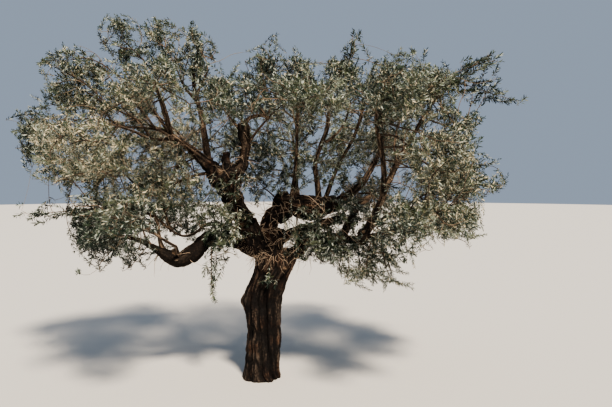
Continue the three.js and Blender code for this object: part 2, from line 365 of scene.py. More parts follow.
def trunk_surface(node):
    """Rings of points round the trunk with the solid's facets smoothed away, and their middles."""
    solid = solid_of([node])
    low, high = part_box(node.name)
    heights = np.arange(low.z + TRUNK_ABOVE_CUT, high.z - TRUNK_DOME, TRUNK_RING_STEP)
    out = around(*LEVEL_AXES, TRUNK_SIDES)
    middle = (low + high) / 2
    middles = []
    reaches = []
    for height in heights:
        for _ in range(CENTRING_ROUNDS):
            start = Vector((middle.x, middle.y, height))
            hits = [solid.ray_cast(start, Vector(way)) for way in out]
            middle = Vector(np.mean([hit[0] for hit in hits], axis=0))
        middles.append(start)
        reaches.append([hit[3] for hit in hits])
    lightly = smoothed_reaches(np.array(reaches), LIGHT_ROUNDS)
    strongly = smoothed_reaches(np.array(reaches), STRONG_ROUNDS)
    head = np.clip((heights - TRUNK_HEAD_START) / TRUNK_HEAD_BLEND, 0, 1)[:, None]
    reaches = lightly * (1 - head) + strongly * head
    middles = softened(np.array(middles), TRUNK_LINE_ROUNDS)
    middles = np.concatenate([middles[:1] - (0, 0, TRUNK_BELOW_CUT), middles])
    reaches = np.concatenate([reaches[:1], reaches])
    return middles[:, None, :] + reaches[:, :, None] * out, middles, reaches.mean(axis=1)


# Skins.

def fan(centre, start, sides):
    """Triangles between one point and a ring of points, given by their numbers."""
    side = np.arange(sides)
    return np.stack([np.full(sides, centre), start + side, start + (side + 1) % sides], axis=1)


def ring_faces(rings, sides):
    """The triangles between rings that follow each other, each with the same number of points."""
    ring, side = np.meshgrid(np.arange(rings - 1), np.arange(sides), indexing="ij")
    low = (ring * sides + side).ravel()
    low_after = (ring * sides + (side + 1) % sides).ravel()
    first = np.stack([low, low_after, low_after + sides], axis=1)
    second = np.stack([low, low_after + sides, low + sides], axis=1)
    return np.concatenate([first, second])


def closed_skin(rings):
    """A closed surface through rings of points, shape (rings, sides, 3)."""
    count, sides = rings.shape[:2]
    foot = count * sides
    foot_faces = fan(foot, 0, sides)[:, [0, 2, 1]]
    tip_faces = fan(foot + 1, foot - sides, sides)
    ends = [rings[:1].mean(axis=1), rings[-1:].mean(axis=1)]
    points = np.concatenate([rings.reshape(-1, 3)] + ends)
    return points, np.concatenate([ring_faces(count, sides), foot_faces, tip_faces])


DOME_LIFTS = np.radians((30, 60))


def round_skin(limb, sides, swell=0.0):
    """A closed tube round a limb with a domed tip. swell adds to its radius at each ring and side."""
    out = around(limb.sides, limb.ups, sides)
    radii = limb.radii[:, None] + np.broadcast_to(swell, (len(limb.radii), sides))
    rings = [limb.points[:, None, :] + out * radii[:, :, None]]
    for lift in DOME_LIFTS:
        middle = limb.points[-1] + limb.tangents[-1] * math.sin(lift) * limb.radii[-1]
        rings.append([middle + out[-1] * radii[-1][:, None] * math.cos(lift)])
    return closed_skin(np.concatenate(rings))


def open_tube(line, radii, sides):
    """A tube whose foot is open inside the wood it grows from and whose tip comes to a point."""
    tangents = unit(np.gradient(line, axis=0))
    side = carried_sides(tangents)
    out = around(side, np.cross(tangents, side), sides)
    rings = line[:-1, None, :] + out[:-1] * radii[:-1, None, None]
    points = np.concatenate([rings.reshape(-1, 3), line[-1:]])
    tip = fan(len(points) - 1, len(points) - 1 - sides, sides)
    return points, np.concatenate([ring_faces(len(line) - 1, sides), tip])


def joined(shapes):
    """Several surfaces, each points and faces, as one."""
    starts = np.cumsum([0] + [len(points) for points, _ in shapes])
    faces = [faces + start for (_, faces), start in zip(shapes, starts)]
    return np.concatenate([points for points, _ in shapes]), np.concatenate(faces)


def mesh_from(name, points, faces, tones=None):
    """A smooth mesh of triangles, each with the number of its material where tones are given."""
    mesh = bpy.data.meshes.new(name)
    mesh.vertices.add(len(points))
    mesh.vertices.foreach_set("co", np.asarray(points, np.float32).ravel())
    mesh.loops.add(faces.size)
    mesh.loops.foreach_set("vertex_index", faces.astype(np.int32).ravel())
    mesh.polygons.add(len(faces))
    mesh.polygons.foreach_set("loop_start", np.arange(0, faces.size, 3, dtype=np.int32))
    if tones is not None:
        mesh.polygons.foreach_set("material_index", tones.astype(np.int32))
    mesh.polygons.foreach_set("use_smooth", np.ones(len(faces), bool))
    mesh.update(calc_edges=True)
    return mesh


def placed(name, data):
    """A new object in the scene."""
    thing = bpy.data.objects.new(name, data)
    bpy.context.scene.collection.objects.link(thing)
    return thing


def show_piece(name, mesh, materials, replaced):
    """Shows a mesh as a piece of the tree that stands for the given solids."""
    for material in materials:
        mesh.materials.append(material)
    piece = placed(name, mesh)
    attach(piece, "root")
    if replaced:
        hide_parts(*replaced)


# Bark relief. Ridges: how wide, how long between forks, how deep the cracks, and how lumpy the limb.
TRUNK_BARK = {"wide": 0.058, "length": 0.36, "deep": 0.019, "lumps": 0.06}
BOUGH_BARK = {"wide": 0.054, "length": 0.30, "deep": 0.015, "lumps": 0.12}
THIN_BARK = {"wide": 0.045, "length": 0.30, "deep": 0.0035, "lumps": 0.09}

# How the cracks wander: how often slow and quick bends come, round the limb and along it, and
# how far they turn.
SLOW_BENDS = (1.0, 0.55)
SLOW_TURN = 0.34
QUICK_BENDS = (2.4, 0.17)
QUICK_TURN = 0.10
SLIDE_SHARE = 0.3

# Fine cracks between the broad ones, drawn-out strands on the ridges, and lumps of the wood.
FINE_TURN = 0.3
FINE_LENGTH_SHARE = 0.42
FINE_DEPTH_SHARE = 0.28
FINE_CREST_SHARE = 0.45
GRAIN_SQUEEZE = 7.0
STRAND_SIZE = 0.045
STRAND_DEPTH_SHARE = 0.22
LUMP_SIZE = 0.13
BROAD_LEVEL = 0.75
FINE_LEVEL = 0.7
FAR_OUT = 9.0
CELL_SWERVE = (0.42, 0.48)
CRACK_SLOPE = 0.42
FEWEST_RIDGES = 5

# Seeds of the bark's noise: how far they lie apart from limb to limb, and each noise's own.
LIMB_SEEDS = 11
THIN_LIMB_SEEDS = 13
FIRST_THIN_SEED = 300
QUICK_SEED = 1
LUMP_SEED = 3
SLIDE_SEED = 4
FINE_SEED = 5
STRAND_SEED = 6


def places_on(points, limb):
    """Where points lie on a limb: the way along it, the angle round it, how far out they are as a
    share of its radius, and that radius."""
    nearest = np.argmin(distances(points, limb.points), axis=1)
    offset = points - limb.points[nearest]
    ahead, across, upward = [np.sum(offset * ways[nearest], axis=1)
                             for ways in (limb.tangents, limb.sides, limb.ups)]
    along = limb.along[nearest] + np.clip(ahead, -LINE_STEP, LINE_STEP)
    out = np.linalg.norm(offset, axis=1) / limb.radii[nearest]
    return along, np.arctan2(upward, across), out, limb.radii[nearest]


def ring_places(along, angle, radius, squeeze):
    """Places for noise on a limb's skin, drawn out along the limb by the squeeze."""
    return np.stack([np.cos(angle) * radius, np.sin(angle) * radius, along / squeeze], axis=1)


def cracks(along, angle, count, cell_length, seed):
    """How far each place on a limb's skin is from a crack in its bark: 0 in a crack and 1 on top
    of a ridge. The cracks run round long, crooked cells, count of them around the limb."""
    turn = angle / (2 * math.pi) * count
    reach = along / cell_length
    corner = np.stack([np.floor(turn), np.floor(reach)], axis=1).astype(np.int64)
    nearest = np.full(len(along), FAR_OUT)
    second = np.full(len(along), FAR_OUT)
    for step in np.ndindex(3, 3):
        cell = corner + np.array(step) - 1
        home = np.stack([cell[:, 0] % count, cell[:, 1], np.full(len(cell), seed)], axis=1)
        across = cell[:, 0] + 0.5 + CELL_SWERVE[0] * lattice_value(home, 1) - turn
        ahead = cell[:, 1] + 0.5 + CELL_SWERVE[1] * lattice_value(home, 2) - reach
        away = np.hypot(across, ahead)
        second = np.minimum(second, np.maximum(nearest, away))
        nearest = np.minimum(nearest, away)
    return np.clip((second - nearest) / CRACK_SLOPE, 0, 1)


def bark_relief(along, angle, radius, seed, plan):
    """The height of the bark over a limb's round skin, and how far each place is from a crack."""
    slow = smooth_noise(ring_places(along, angle, *SLOW_BENDS), 1.0, seed)
    quick_places = ring_places(along, angle, *QUICK_BENDS)
    quick = smooth_noise(quick_places, 1.0, seed + QUICK_SEED)
    turned = angle + SLOW_TURN * slow + QUICK_TURN * quick
    slide = SLIDE_SHARE * plan["length"]
    slid = along + slide * smooth_noise(quick_places, 1.0, seed + SLIDE_SEED)
    count = max(FEWEST_RIDGES, round(2 * math.pi * float(np.mean(radius)) / plan["wide"]))
    broad = cracks(slid, turned, count, plan["length"], seed)
    fine_length = plan["length"] * FINE_LENGTH_SHARE
    fine = cracks(slid, turned + FINE_TURN, 2 * count + 1, fine_length, seed + FINE_SEED)
    drawn_out = ring_places(along, turned, radius, GRAIN_SQUEEZE)
    strand = smooth_noise(drawn_out, STRAND_SIZE, seed + STRAND_SEED)
    lumps = smooth_noise(ring_places(along, angle, radius, 1.0), LUMP_SIZE, seed + LUMP_SEED)
    height = np.sqrt(broad) - BROAD_LEVEL + FINE_DEPTH_SHARE * (fine - FINE_LEVEL)
    height = plan["deep"] * (height + STRAND_DEPTH_SHARE * strand) + plan["lumps"] * radius * lumps
    return height, broad * (1 - FINE_CREST_SHARE + FINE_CREST_SHARE * fine)


# Clefts in the trunk: half width, depth, and a line of places from top to foot, each the angle
# round the trunk in degrees from the front towards the right, and the height.
CLEFTS = [
    (0.034, 0.055, [(4, 1.34), (8, 1.09), (11, 0.65), (24, 0.35), (38, 0.05)]),
    (0.022, 0.026, [(-12, 1.45), (-17, 1.09), (-12, 0.62), (-4, 0.30), (4, 0.02)]),
    (0.03, 0.034, [(46, 1.50), (39, 1.09), (40, 0.65), (47, 0.35), (60, 0.02)]),
    (0.022, 0.022, [(-44, 1.20), (-47, 0.80), (-40, 0.40), (-44, 0.02)]),
    (0.03, 0.036, [(92, 1.55), (84, 1.10), (95, 0.60), (90, 0.02)]),
    (0.036, 0.05, [(150, 1.60), (142, 1.05), (158, 0.55), (150, 0.02)]),
    (0.028, 0.034, [(196, 1.50), (205, 1.05), (193, 0.55), (200, 0.02)]),
    (0.034, 0.042, [(248, 1.45), (240, 0.95), (252, 0.50), (245, 0.02)]),
]
CLEFT_WAVE = 3.0
CLEFT_WAVE_LENGTH = 0.12
CLEFT_END = 0.12
CLEFT_POWER = 1.6
CLEFT_REACH = 0.45
CLEFT_SEED = 41


def cleft_depths(points, middles):
    """How deep the trunk's clefts are at each point."""
    height = points[:, 2]
    centre = np.stack([np.interp(height, middles[:, 2], middles[:, axis]) for axis in (0, 1)], axis=1)
    offset = points[:, :2] - centre
    reach = np.linalg.norm(offset, axis=1)
    bearing = np.degrees(np.arctan2(offset[:, 0], -offset[:, 1]))
    level = np.zeros(len(points))
    wavy = smooth_noise(np.stack([level, level, height], axis=1), CLEFT_WAVE_LENGTH, CLEFT_SEED)
    depth = np.zeros(len(points))
    for wide, deep, line in CLEFTS:
        angles, heights = np.array(line, float)[::-1].T
        turn = bearing - np.interp(height, heights, angles) - CLEFT_WAVE * wavy
        sideways = np.radians((turn + 180) % 360 - 180) * reach
        ends = np.clip((heights[-1] - height) / CLEFT_END, 0, 1)
        depth = np.maximum(depth, deep * np.exp(-np.abs(sideways / wide) ** CLEFT_POWER) * ends)
    return depth * (reach < CLEFT_REACH)


# Swellings of old wood round former cuts: place, how wide and how high.
BURLS = [
    ((-0.50, -0.25, 2.62), 0.13, 0.05), ((-0.64, -0.18, 2.78), 0.09, 0.045),
    ((-0.36, -0.22, 2.76), 0.08, 0.045), ((-0.44, -0.28, 2.47), 0.09, 0.035),
    ((-0.30, -0.20, 2.32), 0.08, 0.028), ((-0.20, -0.20, 3.27), 0.07, 0.03),
    ((-0.26, -0.16, 2.82), 0.12, 0.026), ((-0.18, -0.16, 3.02), 0.10, 0.02),
    ((-0.24, -0.14, 3.14), 0.08, 0.022), ((0.95, 0.02, 2.30), 0.10, 0.04),
    ((0.35, 0.02, 2.36), 0.09, 0.03), ((0.36, -0.02, 2.24), 0.06, 0.025),
    ((0.62, 0.00, 2.22), 0.07, 0.025), ((0.80, 0.00, 2.32), 0.06, 0.025),
    ((0.40, 0.04, 2.14), 0.12, 0.05), ((0.58, 0.04, 2.13), 0.12, 0.055), ((0.74, 0.04, 2.14), 0.11, 0.05),
    ((1.28, -0.22, 1.86), 0.08, 0.035), ((-0.55, -0.16, 1.87), 0.15, 0.016),
    ((-0.70, -0.20, 1.85), 0.14, 0.02), ((-0.80, -0.24, 1.74), 0.15, 0.026),
    ((-0.90, -0.28, 1.64), 0.15, 0.03), ((-1.04, -0.31, 1.59), 0.14, 0.028),
    ((-1.18, -0.35, 1.65), 0.12, 0.022), ((0.05, -0.25, 1.62), 0.12, 0.04),
    ((0.42, -0.22, 1.50), 0.10, 0.035), ((0.26, -0.28, 1.66), 0.09, 0.03),
    ((-0.24, 0.00, 1.04), 0.07, 0.03),
]

# Places where the wood is knotted all over: the middle, how far it spreads and how rough it is.
KNOTTED = [
    ((-0.44, -0.18, 2.60), 0.36, 0.03), ((0.10, -0.05, 1.72), 0.34, 0.026),
    ((0.60, 0.05, 2.26), 0.42, 0.02), ((-0.20, -0.10, 3.28), 0.16, 0.022),
]
# The noise that the knots follow: height, size and seed.
KNOTS = ((1.0, 0.085, 8), (0.5, 0.0425, 9))


def burl_heights(points):
    """How high the burls and knots stand at each point."""
    height = np.zeros(len(points))
    for place, wide, high in BURLS:
        height += high * np.exp(-(np.linalg.norm(points - place, axis=1) / wide) ** 2)
    knots = sum(rise * smooth_noise(points, size, seed) for rise, size, seed in KNOTS)
    for place, wide, rough in KNOTTED:
        height += rough * knots * np.exp(-(np.linalg.norm(points - place, axis=1) / wide) ** 4)
    return height


OLD_LIMB_SIDES = 24

# The hollow stub of a broken limb, which leans out to the front left of the fork: its ends, its
# radii from foot to rim, and the places and radii inside it, from the rim down.
STUB_FOOT = np.array((0.0, -0.03, 1.66))
STUB_HEAD = np.array((-0.165, -0.30, 2.075))
STUB_RADIUS = 0.128
STUB_SWELL = np.array((0.7, 0.9, 1.0, 1.0, 0.97, 0.95, 0.96, 1.0, 1.05))
HOLLOW_RADIUS = 0.092
HOLLOW_DEPTH = 0.22
HOLLOW_PLACES = np.array((0.008, -0.03, -0.12, -HOLLOW_DEPTH))
HOLLOW_SWELL = np.array((1.14, 1.0, 0.95, 0.7))
HOLLOW_ROOM = 0.03
HOLLOW_WALL_SHARE = 1.15
RIM_DEPTH = 0.01
ASLANT = (0.13, 0.21, 0.97)


def circle_skin(centres, facing, radii, sides):
    """A closed skin through circles round the centres, all square to one direction."""
    side = unit(np.cross(facing, ASLANT))
    out = around(side, np.cross(facing, side), sides)
    return closed_skin(np.asarray(centres)[:, None, :] + out * np.asarray(radii)[:, None, None])


def hollow_stub():
    """The stub's skin, which turns in at its rim and runs down into the hollow."""
    facing = unit(STUB_HEAD - STUB_FOOT)
    outside = np.linspace(STUB_FOOT, STUB_HEAD, len(STUB_SWELL))
    inside = STUB_HEAD + facing * HOLLOW_PLACES[:, None]
    radii = np.concatenate([STUB_RADIUS * STUB_SWELL, HOLLOW_RADIUS * HOLLOW_SWELL])
    return circle_skin(np.concatenate([outside, inside]), facing, radii, OLD_LIMB_SIDES)


def beyond(points, foot, head):
    """How far points are past the head of a stub, and how far from its axis."""
    facing = unit(np.subtract(head, foot))
    offset = points - head
    ahead = offset @ facing
    return ahead, np.linalg.norm(offset - ahead[:, None] * facing, axis=1)


def hollow_share(points):
    """1 inside the hollow of the stub."""
    ahead, aside = beyond(points, STUB_FOOT, STUB_HEAD)
    deep_enough = (ahead < -RIM_DEPTH) & (ahead > -HOLLOW_DEPTH - HOLLOW_ROOM)
    return (deep_enough & (aside < HOLLOW_RADIUS * HOLLOW_WALL_SHARE)).astype(float)


# Short stubs of limbs that were sawn off: where the pale cut face is seen from the front, across
# and up on the plane of the trunk, which way it faces, its radius and how far it stands out.
CUTS = [
    ((0.49, 2.275), (0.10, -1.00, 0.15), 0.026, 0.02), ((0.725, 2.21), (0.35, -1.00, 0.05), 0.03, 0.03),
    ((0.29, 1.45), (0.35, -1.00, 0.35), 0.017, 0.03), ((-0.56, 2.73), (0.55, -1.00, 0.25), 0.028, 0.04),
    ((-0.31, 2.40), (-0.60, -1.00, 0.20), 0.03, 0.03), ((1.32, 1.93), (0.45, -1.00, 0.25), 0.028, 0.04),
    ((0.02, 1.95), (-0.10, -1.00, 0.45), 0.03, 0.04), ((-1.16, 1.66), (-0.20, -1.00, -0.20), 0.026, 0.03),
]
CUT_FACE_DEPTH = 0.014
CUT_FACE_SHARE = 0.86
CUT_BURIED_SHARE = 2.5
HOLLOW_BARE = 0.35
BARE_PATCH = 0.06
BARE_PATCH_LEVEL = 0.25
BARE_PATCH_SEED = 9
PASSED_SHARES = np.linspace(0.9, 1.1, 41)
STUB_SIDES = 14
SAWN_SWELL = np.array((1.5, 1.25, 1.08, 1.0, 0.96))

# Short broken stubs on the left head of the tree, on the arch and behind the fork: the foot, the
# head and the radius.
SNAGS = [
    ((-0.44, -0.18, 2.72), (-0.445, -0.20, 2.965), 0.043),
    ((-0.62, -0.05, 2.66), (-0.72, 0.12, 2.90), 0.048), ((0.31, 0.10, 2.26), (0.30, 0.05, 2.47), 0.04),
    ((1.02, 0.14, 2.28), (1.10, 0.16, 2.45), 0.046), ((0.16, 0.14, 1.62), (0.22, 0.42, 1.92), 0.075),
]


def sawn_stub(foot, head, radius):
    """A short limb with a flat end, a little thicker at its foot."""
    centres = np.linspace(foot, head, len(SAWN_SWELL))
    return circle_skin(centres, unit(np.subtract(head, foot)), radius * SAWN_SWELL, STUB_SIDES)


def place_in_sight(solid, seen):
    """The place on the wood that a line of sight meets, or passes most closely."""
    eye = Vector(CAMERA_PLACE)
    sight = Vector((seen[0], 0, seen[1])) - eye
    hit = solid.ray_cast(eye, sight)[0]
    if hit is not None:
        return np.array(hit)
    passed = [solid.find_nearest(eye + sight * share) for share in PASSED_SHARES]
    return np.array(min(passed, key=lambda found: found[3])[0])


def found_cuts(solid):
    """The foot, head and radius of each cut, on the surface of the limbs."""
    cuts = []
    for seen, facing, radius, stand_out in CUTS:
        place = place_in_sight(solid, seen)
        way = unit(np.array(facing))
        cuts.append((place - way * CUT_BURIED_SHARE * radius, place + way * stand_out, radius))
    return cuts


def bare_wood(points, cuts):
    """1 on the faces of the cuts and less inside the hollow stub, where the pale wood shows."""
    patches = smooth_noise(points, BARE_PATCH, BARE_PATCH_SEED) > BARE_PATCH_LEVEL
    bare = HOLLOW_BARE * hollow_share(points) * patches
    for foot, head, radius in cuts:
        ahead, aside = beyond(points, foot, head)
        bare[(np.abs(ahead) < CUT_FACE_DEPTH) & (aside < radius * CUT_FACE_SHARE)] = 1
    return bare


# Old bark: trunk and heavy boughs fused into one skin with ridges and furrows.

OLD_BARK_GRAIN = 0.0127
EASING = (0.5, -0.52, 0.5, -0.52)
CREASE_REACH = 1.5
CREASE_EASING = 0.5
CREASE_ROUNDS = 12
LIMB_ROOM = 1.9
LIMB_BLEND = 0.2
USUAL_GIRTH = 0.1
# Clefts this deep are painted in full shade.
CLEFT_SHADE_DEPTH = 0.03

# A heavy limb from the trunk's head up to the right, which none of the solids stands for: name,
# thickness at foot and tip, and the places it passes through.
FORK_LIMB = ("fork_limb", 0.17, 0.09,
             [(0.14, -0.03, 1.56), (0.22, -0.06, 1.80), (0.36, -0.08, 1.90), (0.52, -0.08, 1.955),
              (0.68, -0.06, 2.00), (0.84, -0.02, 2.05), (1.04, 0.05, 2.12)])

# Roughness all over the old bark, and on the trunk drawn out upwards: height, size and seed.
ROUGHNESS = ((0.004, 0.04, 5), (0.003, 0.022, 6))
TRUNK_ROUGHNESS = (0.006, 0.034, 7)
TRUNK_GRAIN = (1.0, 1.0, 0.18)

# Limbs in the crown's shade, whose bark is darkened with painted shade and shows less of the pale tops
# of its ridges.
PAINTED_SHADE_LIMBS = {"bough_low_left_elbow": 0.2, "bough_low_left_reach": 0.3, "bough_left_root": 0.75,
              "bough_arch": 0.85, "bough_arch_rise": 0.75, "bough_left_pruned": 0.85, "stub": 0.7,
              "fork_limb": 0.5, "bough_right_arm": 0.7}


def fused(shapes, grain):
    """One skin round shapes that overlap."""
    rough = placed("rough", mesh_from("rough", *joined(shapes)))
    remesh = rough.modifiers.new("remesh", "REMESH")
    remesh.mode = "VOXEL"
    remesh.voxel_size = grain
    graph = bpy.context.evaluated_depsgraph_get()
    mesh = bpy.data.meshes.new_from_object(rough.evaluated_get(graph))
    old = rough.data
    bpy.data.objects.remove(rough)
    bpy.data.meshes.remove(old)
    return mesh


def read_values(items, what, width, number):
    """One kind of value of all the vertices or edges of a mesh."""
    values = np.empty(len(items) * width, number)
    items.foreach_get(what, values)
    return values.reshape(-1, width)


def put_values(mesh, name, values):
    """Stores a number or a vector for each point of a mesh."""
    kind, what = ("FLOAT", "value") if values.ndim == 1 else ("FLOAT_VECTOR", "vector")
    attribute = mesh.attributes.new(name, kind, "POINT")
    attribute.data.foreach_set(what, values.astype(np.float32).ravel())


def moved_in(points, edges, shares):
    """Points moved, by each share in turn, towards the mean of their neighbours."""
    counts = np.maximum(np.bincount(edges.ravel(), minlength=len(points)), 1)
    for share in shares:
        sums = [np.bincount(edges.ravel(), weights=points[edges[:, ::-1].ravel(), axis],
                            minlength=len(points)) for axis in range(3)]
        points = points + share * (np.stack(sums, axis=1) / counts[:, None] - points)
    return points


def bark_by_limb(points, wood):
    """For each limb and point: how far out the point is, then its height, crest (dimmed as painted shade
    on limbs in the crown's shade), girth and grain.
    """
    room = (len(wood), len(points))
    outs = np.full(room, FAR_OUT)
    heights = np.zeros(room)
    crests = np.zeros(room)
    girths = np.full(room, USUAL_GIRTH)
    grains = np.zeros(room + (3,))
    for index, limb in enumerate(wood):
        reach = LIMB_ROOM * limb.radii.max()
        near = np.all((points > limb.points.min(axis=0) - reach)
                      & (points < limb.points.max(axis=0) + reach), axis=1)
        along, angle, out, radius = places_on(points[near], limb)
        plan = TRUNK_BARK if limb.name == "trunk" else BOUGH_BARK
        outs[index, near] = out
        height, crest = bark_relief(along, angle, radius, LIMB_SEEDS * index, plan)
        heights[index, near] = height
        # Painted shade dims the ridge tops of limbs in the crown's shade.
        crests[index, near] = crest * PAINTED_SHADE_LIMBS.get(limb.name, 1.0)
        girths[index, near] = radius
        grains[index, near] = ring_places(along, angle, radius, GRAIN_SQUEEZE)
    return outs, heights, crests, girths, grains


def cut_at_ground(mesh):
    """Cuts the foot of the trunk flat at ground level and closes it."""
    shape = bmesh.new()
    shape.from_mesh(mesh)
    everything = shape.verts[:] + shape.edges[:] + shape.faces[:]
    cut = bmesh.ops.bisect_plane(shape, geom=everything, plane_co=(0, 0, 0), plane_no=(0, 0, -1),
                                 clear_outer=True)
    rim = [piece for piece in cut["geom_cut"] if isinstance(piece, bmesh.types.BMEdge)]
    bmesh.ops.contextual_create(shape, geom=rim)
    bmesh.ops.triangulate(shape, faces=[face for face in shape.faces if len(face.verts) > 4])
    shape.to_mesh(mesh)
    shape.free()


def bark_heights(points, shares, heights, bare, cleft):
    """How far the bark stands out at each point, with all its roughness."""
    height = ((shares * heights).sum(axis=0) + burl_heights(points)) * (1 - bare) - cleft
    for high, size, seed in ROUGHNESS:
        height += high * smooth_noise(points, size, seed)
    high, size, seed = TRUNK_ROUGHNESS
    return height + high * shares[0] * smooth_noise(points * TRUNK_GRAIN, size, seed)


def put_points(mesh, points):
    mesh.vertices.foreach_set("co", points.astype(np.float32).ravel())
    mesh.update()


def old_bark_mesh(trunk, trunk_rings, limbs, solid):
    """The bark of the trunk and the heavy boughs, with what the bark's colours need stored in it:
    how high a place is on its ridge, dimmed as painted shade in the clefts, the hollow stub and limbs in
    the crown's shade, how thick its limb is, whether it is bare, and its grain."""
    cuts = found_cuts(solid)
    shapes = [closed_skin(trunk_rings)]
    shapes += [round_skin(limb, OLD_LIMB_SIDES) for limb in limbs]
    shapes += [hollow_stub()] + [sawn_stub(*stub) for stub in cuts + SNAGS]
    mesh = fused(shapes, OLD_BARK_GRAIN)
    edges = read_values(mesh.edges, "vertices", 2, np.int32)
    points = read_values(mesh.vertices, "co", 3, np.float32).astype(float)
    points = moved_in(points, edges, EASING)
    stub_line = np.linspace(STUB_FOOT, STUB_HEAD, len(STUB_SWELL))
    stub = Limb("stub", stub_line, np.full(len(stub_line), STUB_RADIUS))
    outs, heights, crests, girths, grains = bark_by_limb(points, [trunk] + limbs + [stub])
    order = np.sort(outs, axis=0)
    between = np.clip(CREASE_REACH - order[1], 0, 1)
    points = moved_in(points, edges, [CREASE_EASING * between[:, None]] * CREASE_ROUNDS)
    shares = np.exp(-((outs - order[0]) / LIMB_BLEND) ** 2)
    shares /= shares.sum(axis=0)
    bare = bare_wood(points, cuts)
    cleft = cleft_depths(points, trunk.points)
    height = bark_heights(points, shares, heights, bare, cleft)
    put_points(mesh, points)
    points = points + read_values(mesh.vertices, "normal", 3, np.float32) * height[:, None]
    put_points(mesh, points)
    # Painted shade: the ridge colour is dimmed in the trunk's clefts and inside the hollow stub.
    shade = np.clip(1 - cleft / CLEFT_SHADE_DEPTH, 0, 1) * (1 - hollow_share(points))
    put_values(mesh, "crest", (shares * crests).sum(axis=0) * shade)
    put_values(mesh, "girth", (shares * girths).sum(axis=0))
    put_values(mesh, "bare", bare)
    put_values(mesh, "grain", grains[np.argmin(outs, axis=0), np.arange(len(points))])
    cut_at_ground(mesh)
    mesh.polygons.foreach_set("use_smooth", np.ones(len(mesh.polygons), bool))
    return mesh


# Thin limbs: those of the frame and those that fork from them.

# Thin limbs that fork from the boughs: name, thickness at foot and tip, and the places that
# each passes through.
THIN_LIMBS = [
    ("fan_low", 0.05, 0.022,
     [(-1.09, -0.30, 3.14), (-1.35, -0.40, 3.13), (-1.54, -0.50, 3.22), (-1.78, -0.60, 3.30)]),
    ("fan_flat", 0.042, 0.02,
     [(-1.10, -0.30, 3.16), (-1.31, -0.35, 3.26), (-1.70, -0.36, 3.29), (-1.85, -0.36, 3.36)]),
    ("fan_branch_low", 0.03, 0.016,
     [(-1.36, -0.41, 3.13), (-1.44, -0.42, 3.28), (-1.65, -0.42, 3.46)]),
    ("fan_branch_high", 0.028, 0.015,
     [(-1.31, -0.35, 3.26), (-1.45, -0.35, 3.46), (-1.60, -0.33, 3.62)]),
    ("fan_middle", 0.045, 0.02,
     [(-1.14, -0.30, 3.21), (-1.26, -0.35, 3.39), (-1.37, -0.40, 3.56), (-1.51, -0.45, 3.71)]),
    ("fan_high", 0.048, 0.022,
     [(-1.12, -0.30, 3.20), (-1.19, -0.25, 3.46), (-1.28, -0.15, 3.69), (-1.37, -0.05, 3.93)]),
    ("low_left_rise", 0.062, 0.02,
     [(-1.16, -0.34, 1.66), (-1.25, -0.35, 1.80), (-1.28, -0.35, 1.97), (-1.31, -0.35, 2.12),
      (-1.47, -0.35, 2.22), (-1.79, -0.35, 2.29)]),
    ("low_left_sprout", 0.028, 0.014,
     [(-1.36, -0.37, 1.79), (-1.44, -0.37, 1.90), (-1.50, -0.37, 2.07), (-1.62, -0.40, 2.26)]),
    ("low_left_loop", 0.05, 0.026,
     [(-0.16, -0.06, 1.92), (-0.45, -0.24, 2.04), (-0.67, -0.30, 2.06), (-0.84, -0.30, 1.94),
      (-0.99, -0.30, 1.91), (-1.15, -0.31, 2.00), (-1.28, -0.33, 2.12)]),
    ("left_head_arm", 0.045, 0.024,
     [(-0.60, -0.20, 2.72), (-0.83, -0.25, 2.68), (-1.01, -0.26, 2.61), (-1.22, -0.22, 2.50)]),
    ("left_low_branch", 0.032, 0.016,
     [(-1.29, -0.35, 2.10), (-1.40, -0.45, 2.36), (-1.63, -0.50, 2.67), (-1.80, -0.50, 2.73)]),
    ("left_pale", 0.038, 0.016,
     [(-1.16, -0.16, 1.95), (-1.25, -0.15, 2.21), (-1.28, -0.15, 2.51), (-1.30, -0.05, 2.84)]),
    ("right_low", 0.055, 0.022,
     [(1.36, -0.15, 1.95), (1.67, -0.10, 2.18), (1.92, 0.00, 2.30), (2.21, 0.10, 2.46)]),
    ("right_riser_middle", 0.05, 0.02,
     [(1.60, -0.19, 2.50), (1.73, -0.20, 2.80), (1.71, -0.20, 3.06), (1.76, -0.20, 3.38)]),
    ("right_riser_fork", 0.036, 0.018,
     [(1.49, -0.54, 3.05), (1.52, -0.50, 3.21), (1.50, -0.48, 3.44)]),
    ("upright_middle_fork", 0.036, 0.018,
     [(0.83, 0.00, 3.12), (0.90, 0.00, 3.15), (1.07, 0.00, 3.34), (1.16, 0.00, 3.61)]),
    ("arch_shoot_low", 0.022, 0.012,
     [(0.47, 0.02, 2.20), (0.46, -0.02, 2.05), (0.49, -0.04, 1.90)]),
    ("pruned_shoot_right", 0.06, 0.018,
     [(-0.21, -0.15, 3.20), (-0.17, -0.15, 3.40), (0.02, -0.15, 3.45), (0.09, -0.15, 3.40),
      (-0.05, -0.15, 3.60)]),
    ("pruned_shoot_low", 0.04, 0.022,
     [(-0.20, -0.15, 3.02), (-0.10, -0.15, 3.18), (0.03, -0.15, 3.34), (0.08, -0.15, 3.40)]),
    ("pruned_shoot_left", 0.034, 0.014,
     [(-0.27, -0.15, 3.26), (-0.38, -0.15, 3.40), (-0.50, -0.15, 3.55)]),
    ("left_upright_fork_left", 0.045, 0.018,
     [(-0.84, 0.06, 3.64), (-0.93, 0.05, 3.74), (-1.02, 0.04, 3.84), (-1.10, 0.00, 4.05)]),
    ("left_upright_fork_right", 0.04, 0.018,
     [(-0.86, 0.06, 3.69), (-0.84, 0.05, 3.78), (-0.79, 0.04, 3.88), (-0.70, 0.00, 4.05)]),
]
YOUNG_LIMB_SIDES = 10
YOUNG_RING_STEP = 0.03
COLLAR_SHARE = 0.35
COLLAR_LENGTH = 0.1
TIP_CREST = 0.6


def limb_through(name, foot_thickness, tip_thickness, way):
    """A limb along a smooth line through the given places."""
    line = smooth_way(way, LINE_STEP)
    return Limb(name, line, np.linspace(foot_thickness, tip_thickness, len(line)) / 2)


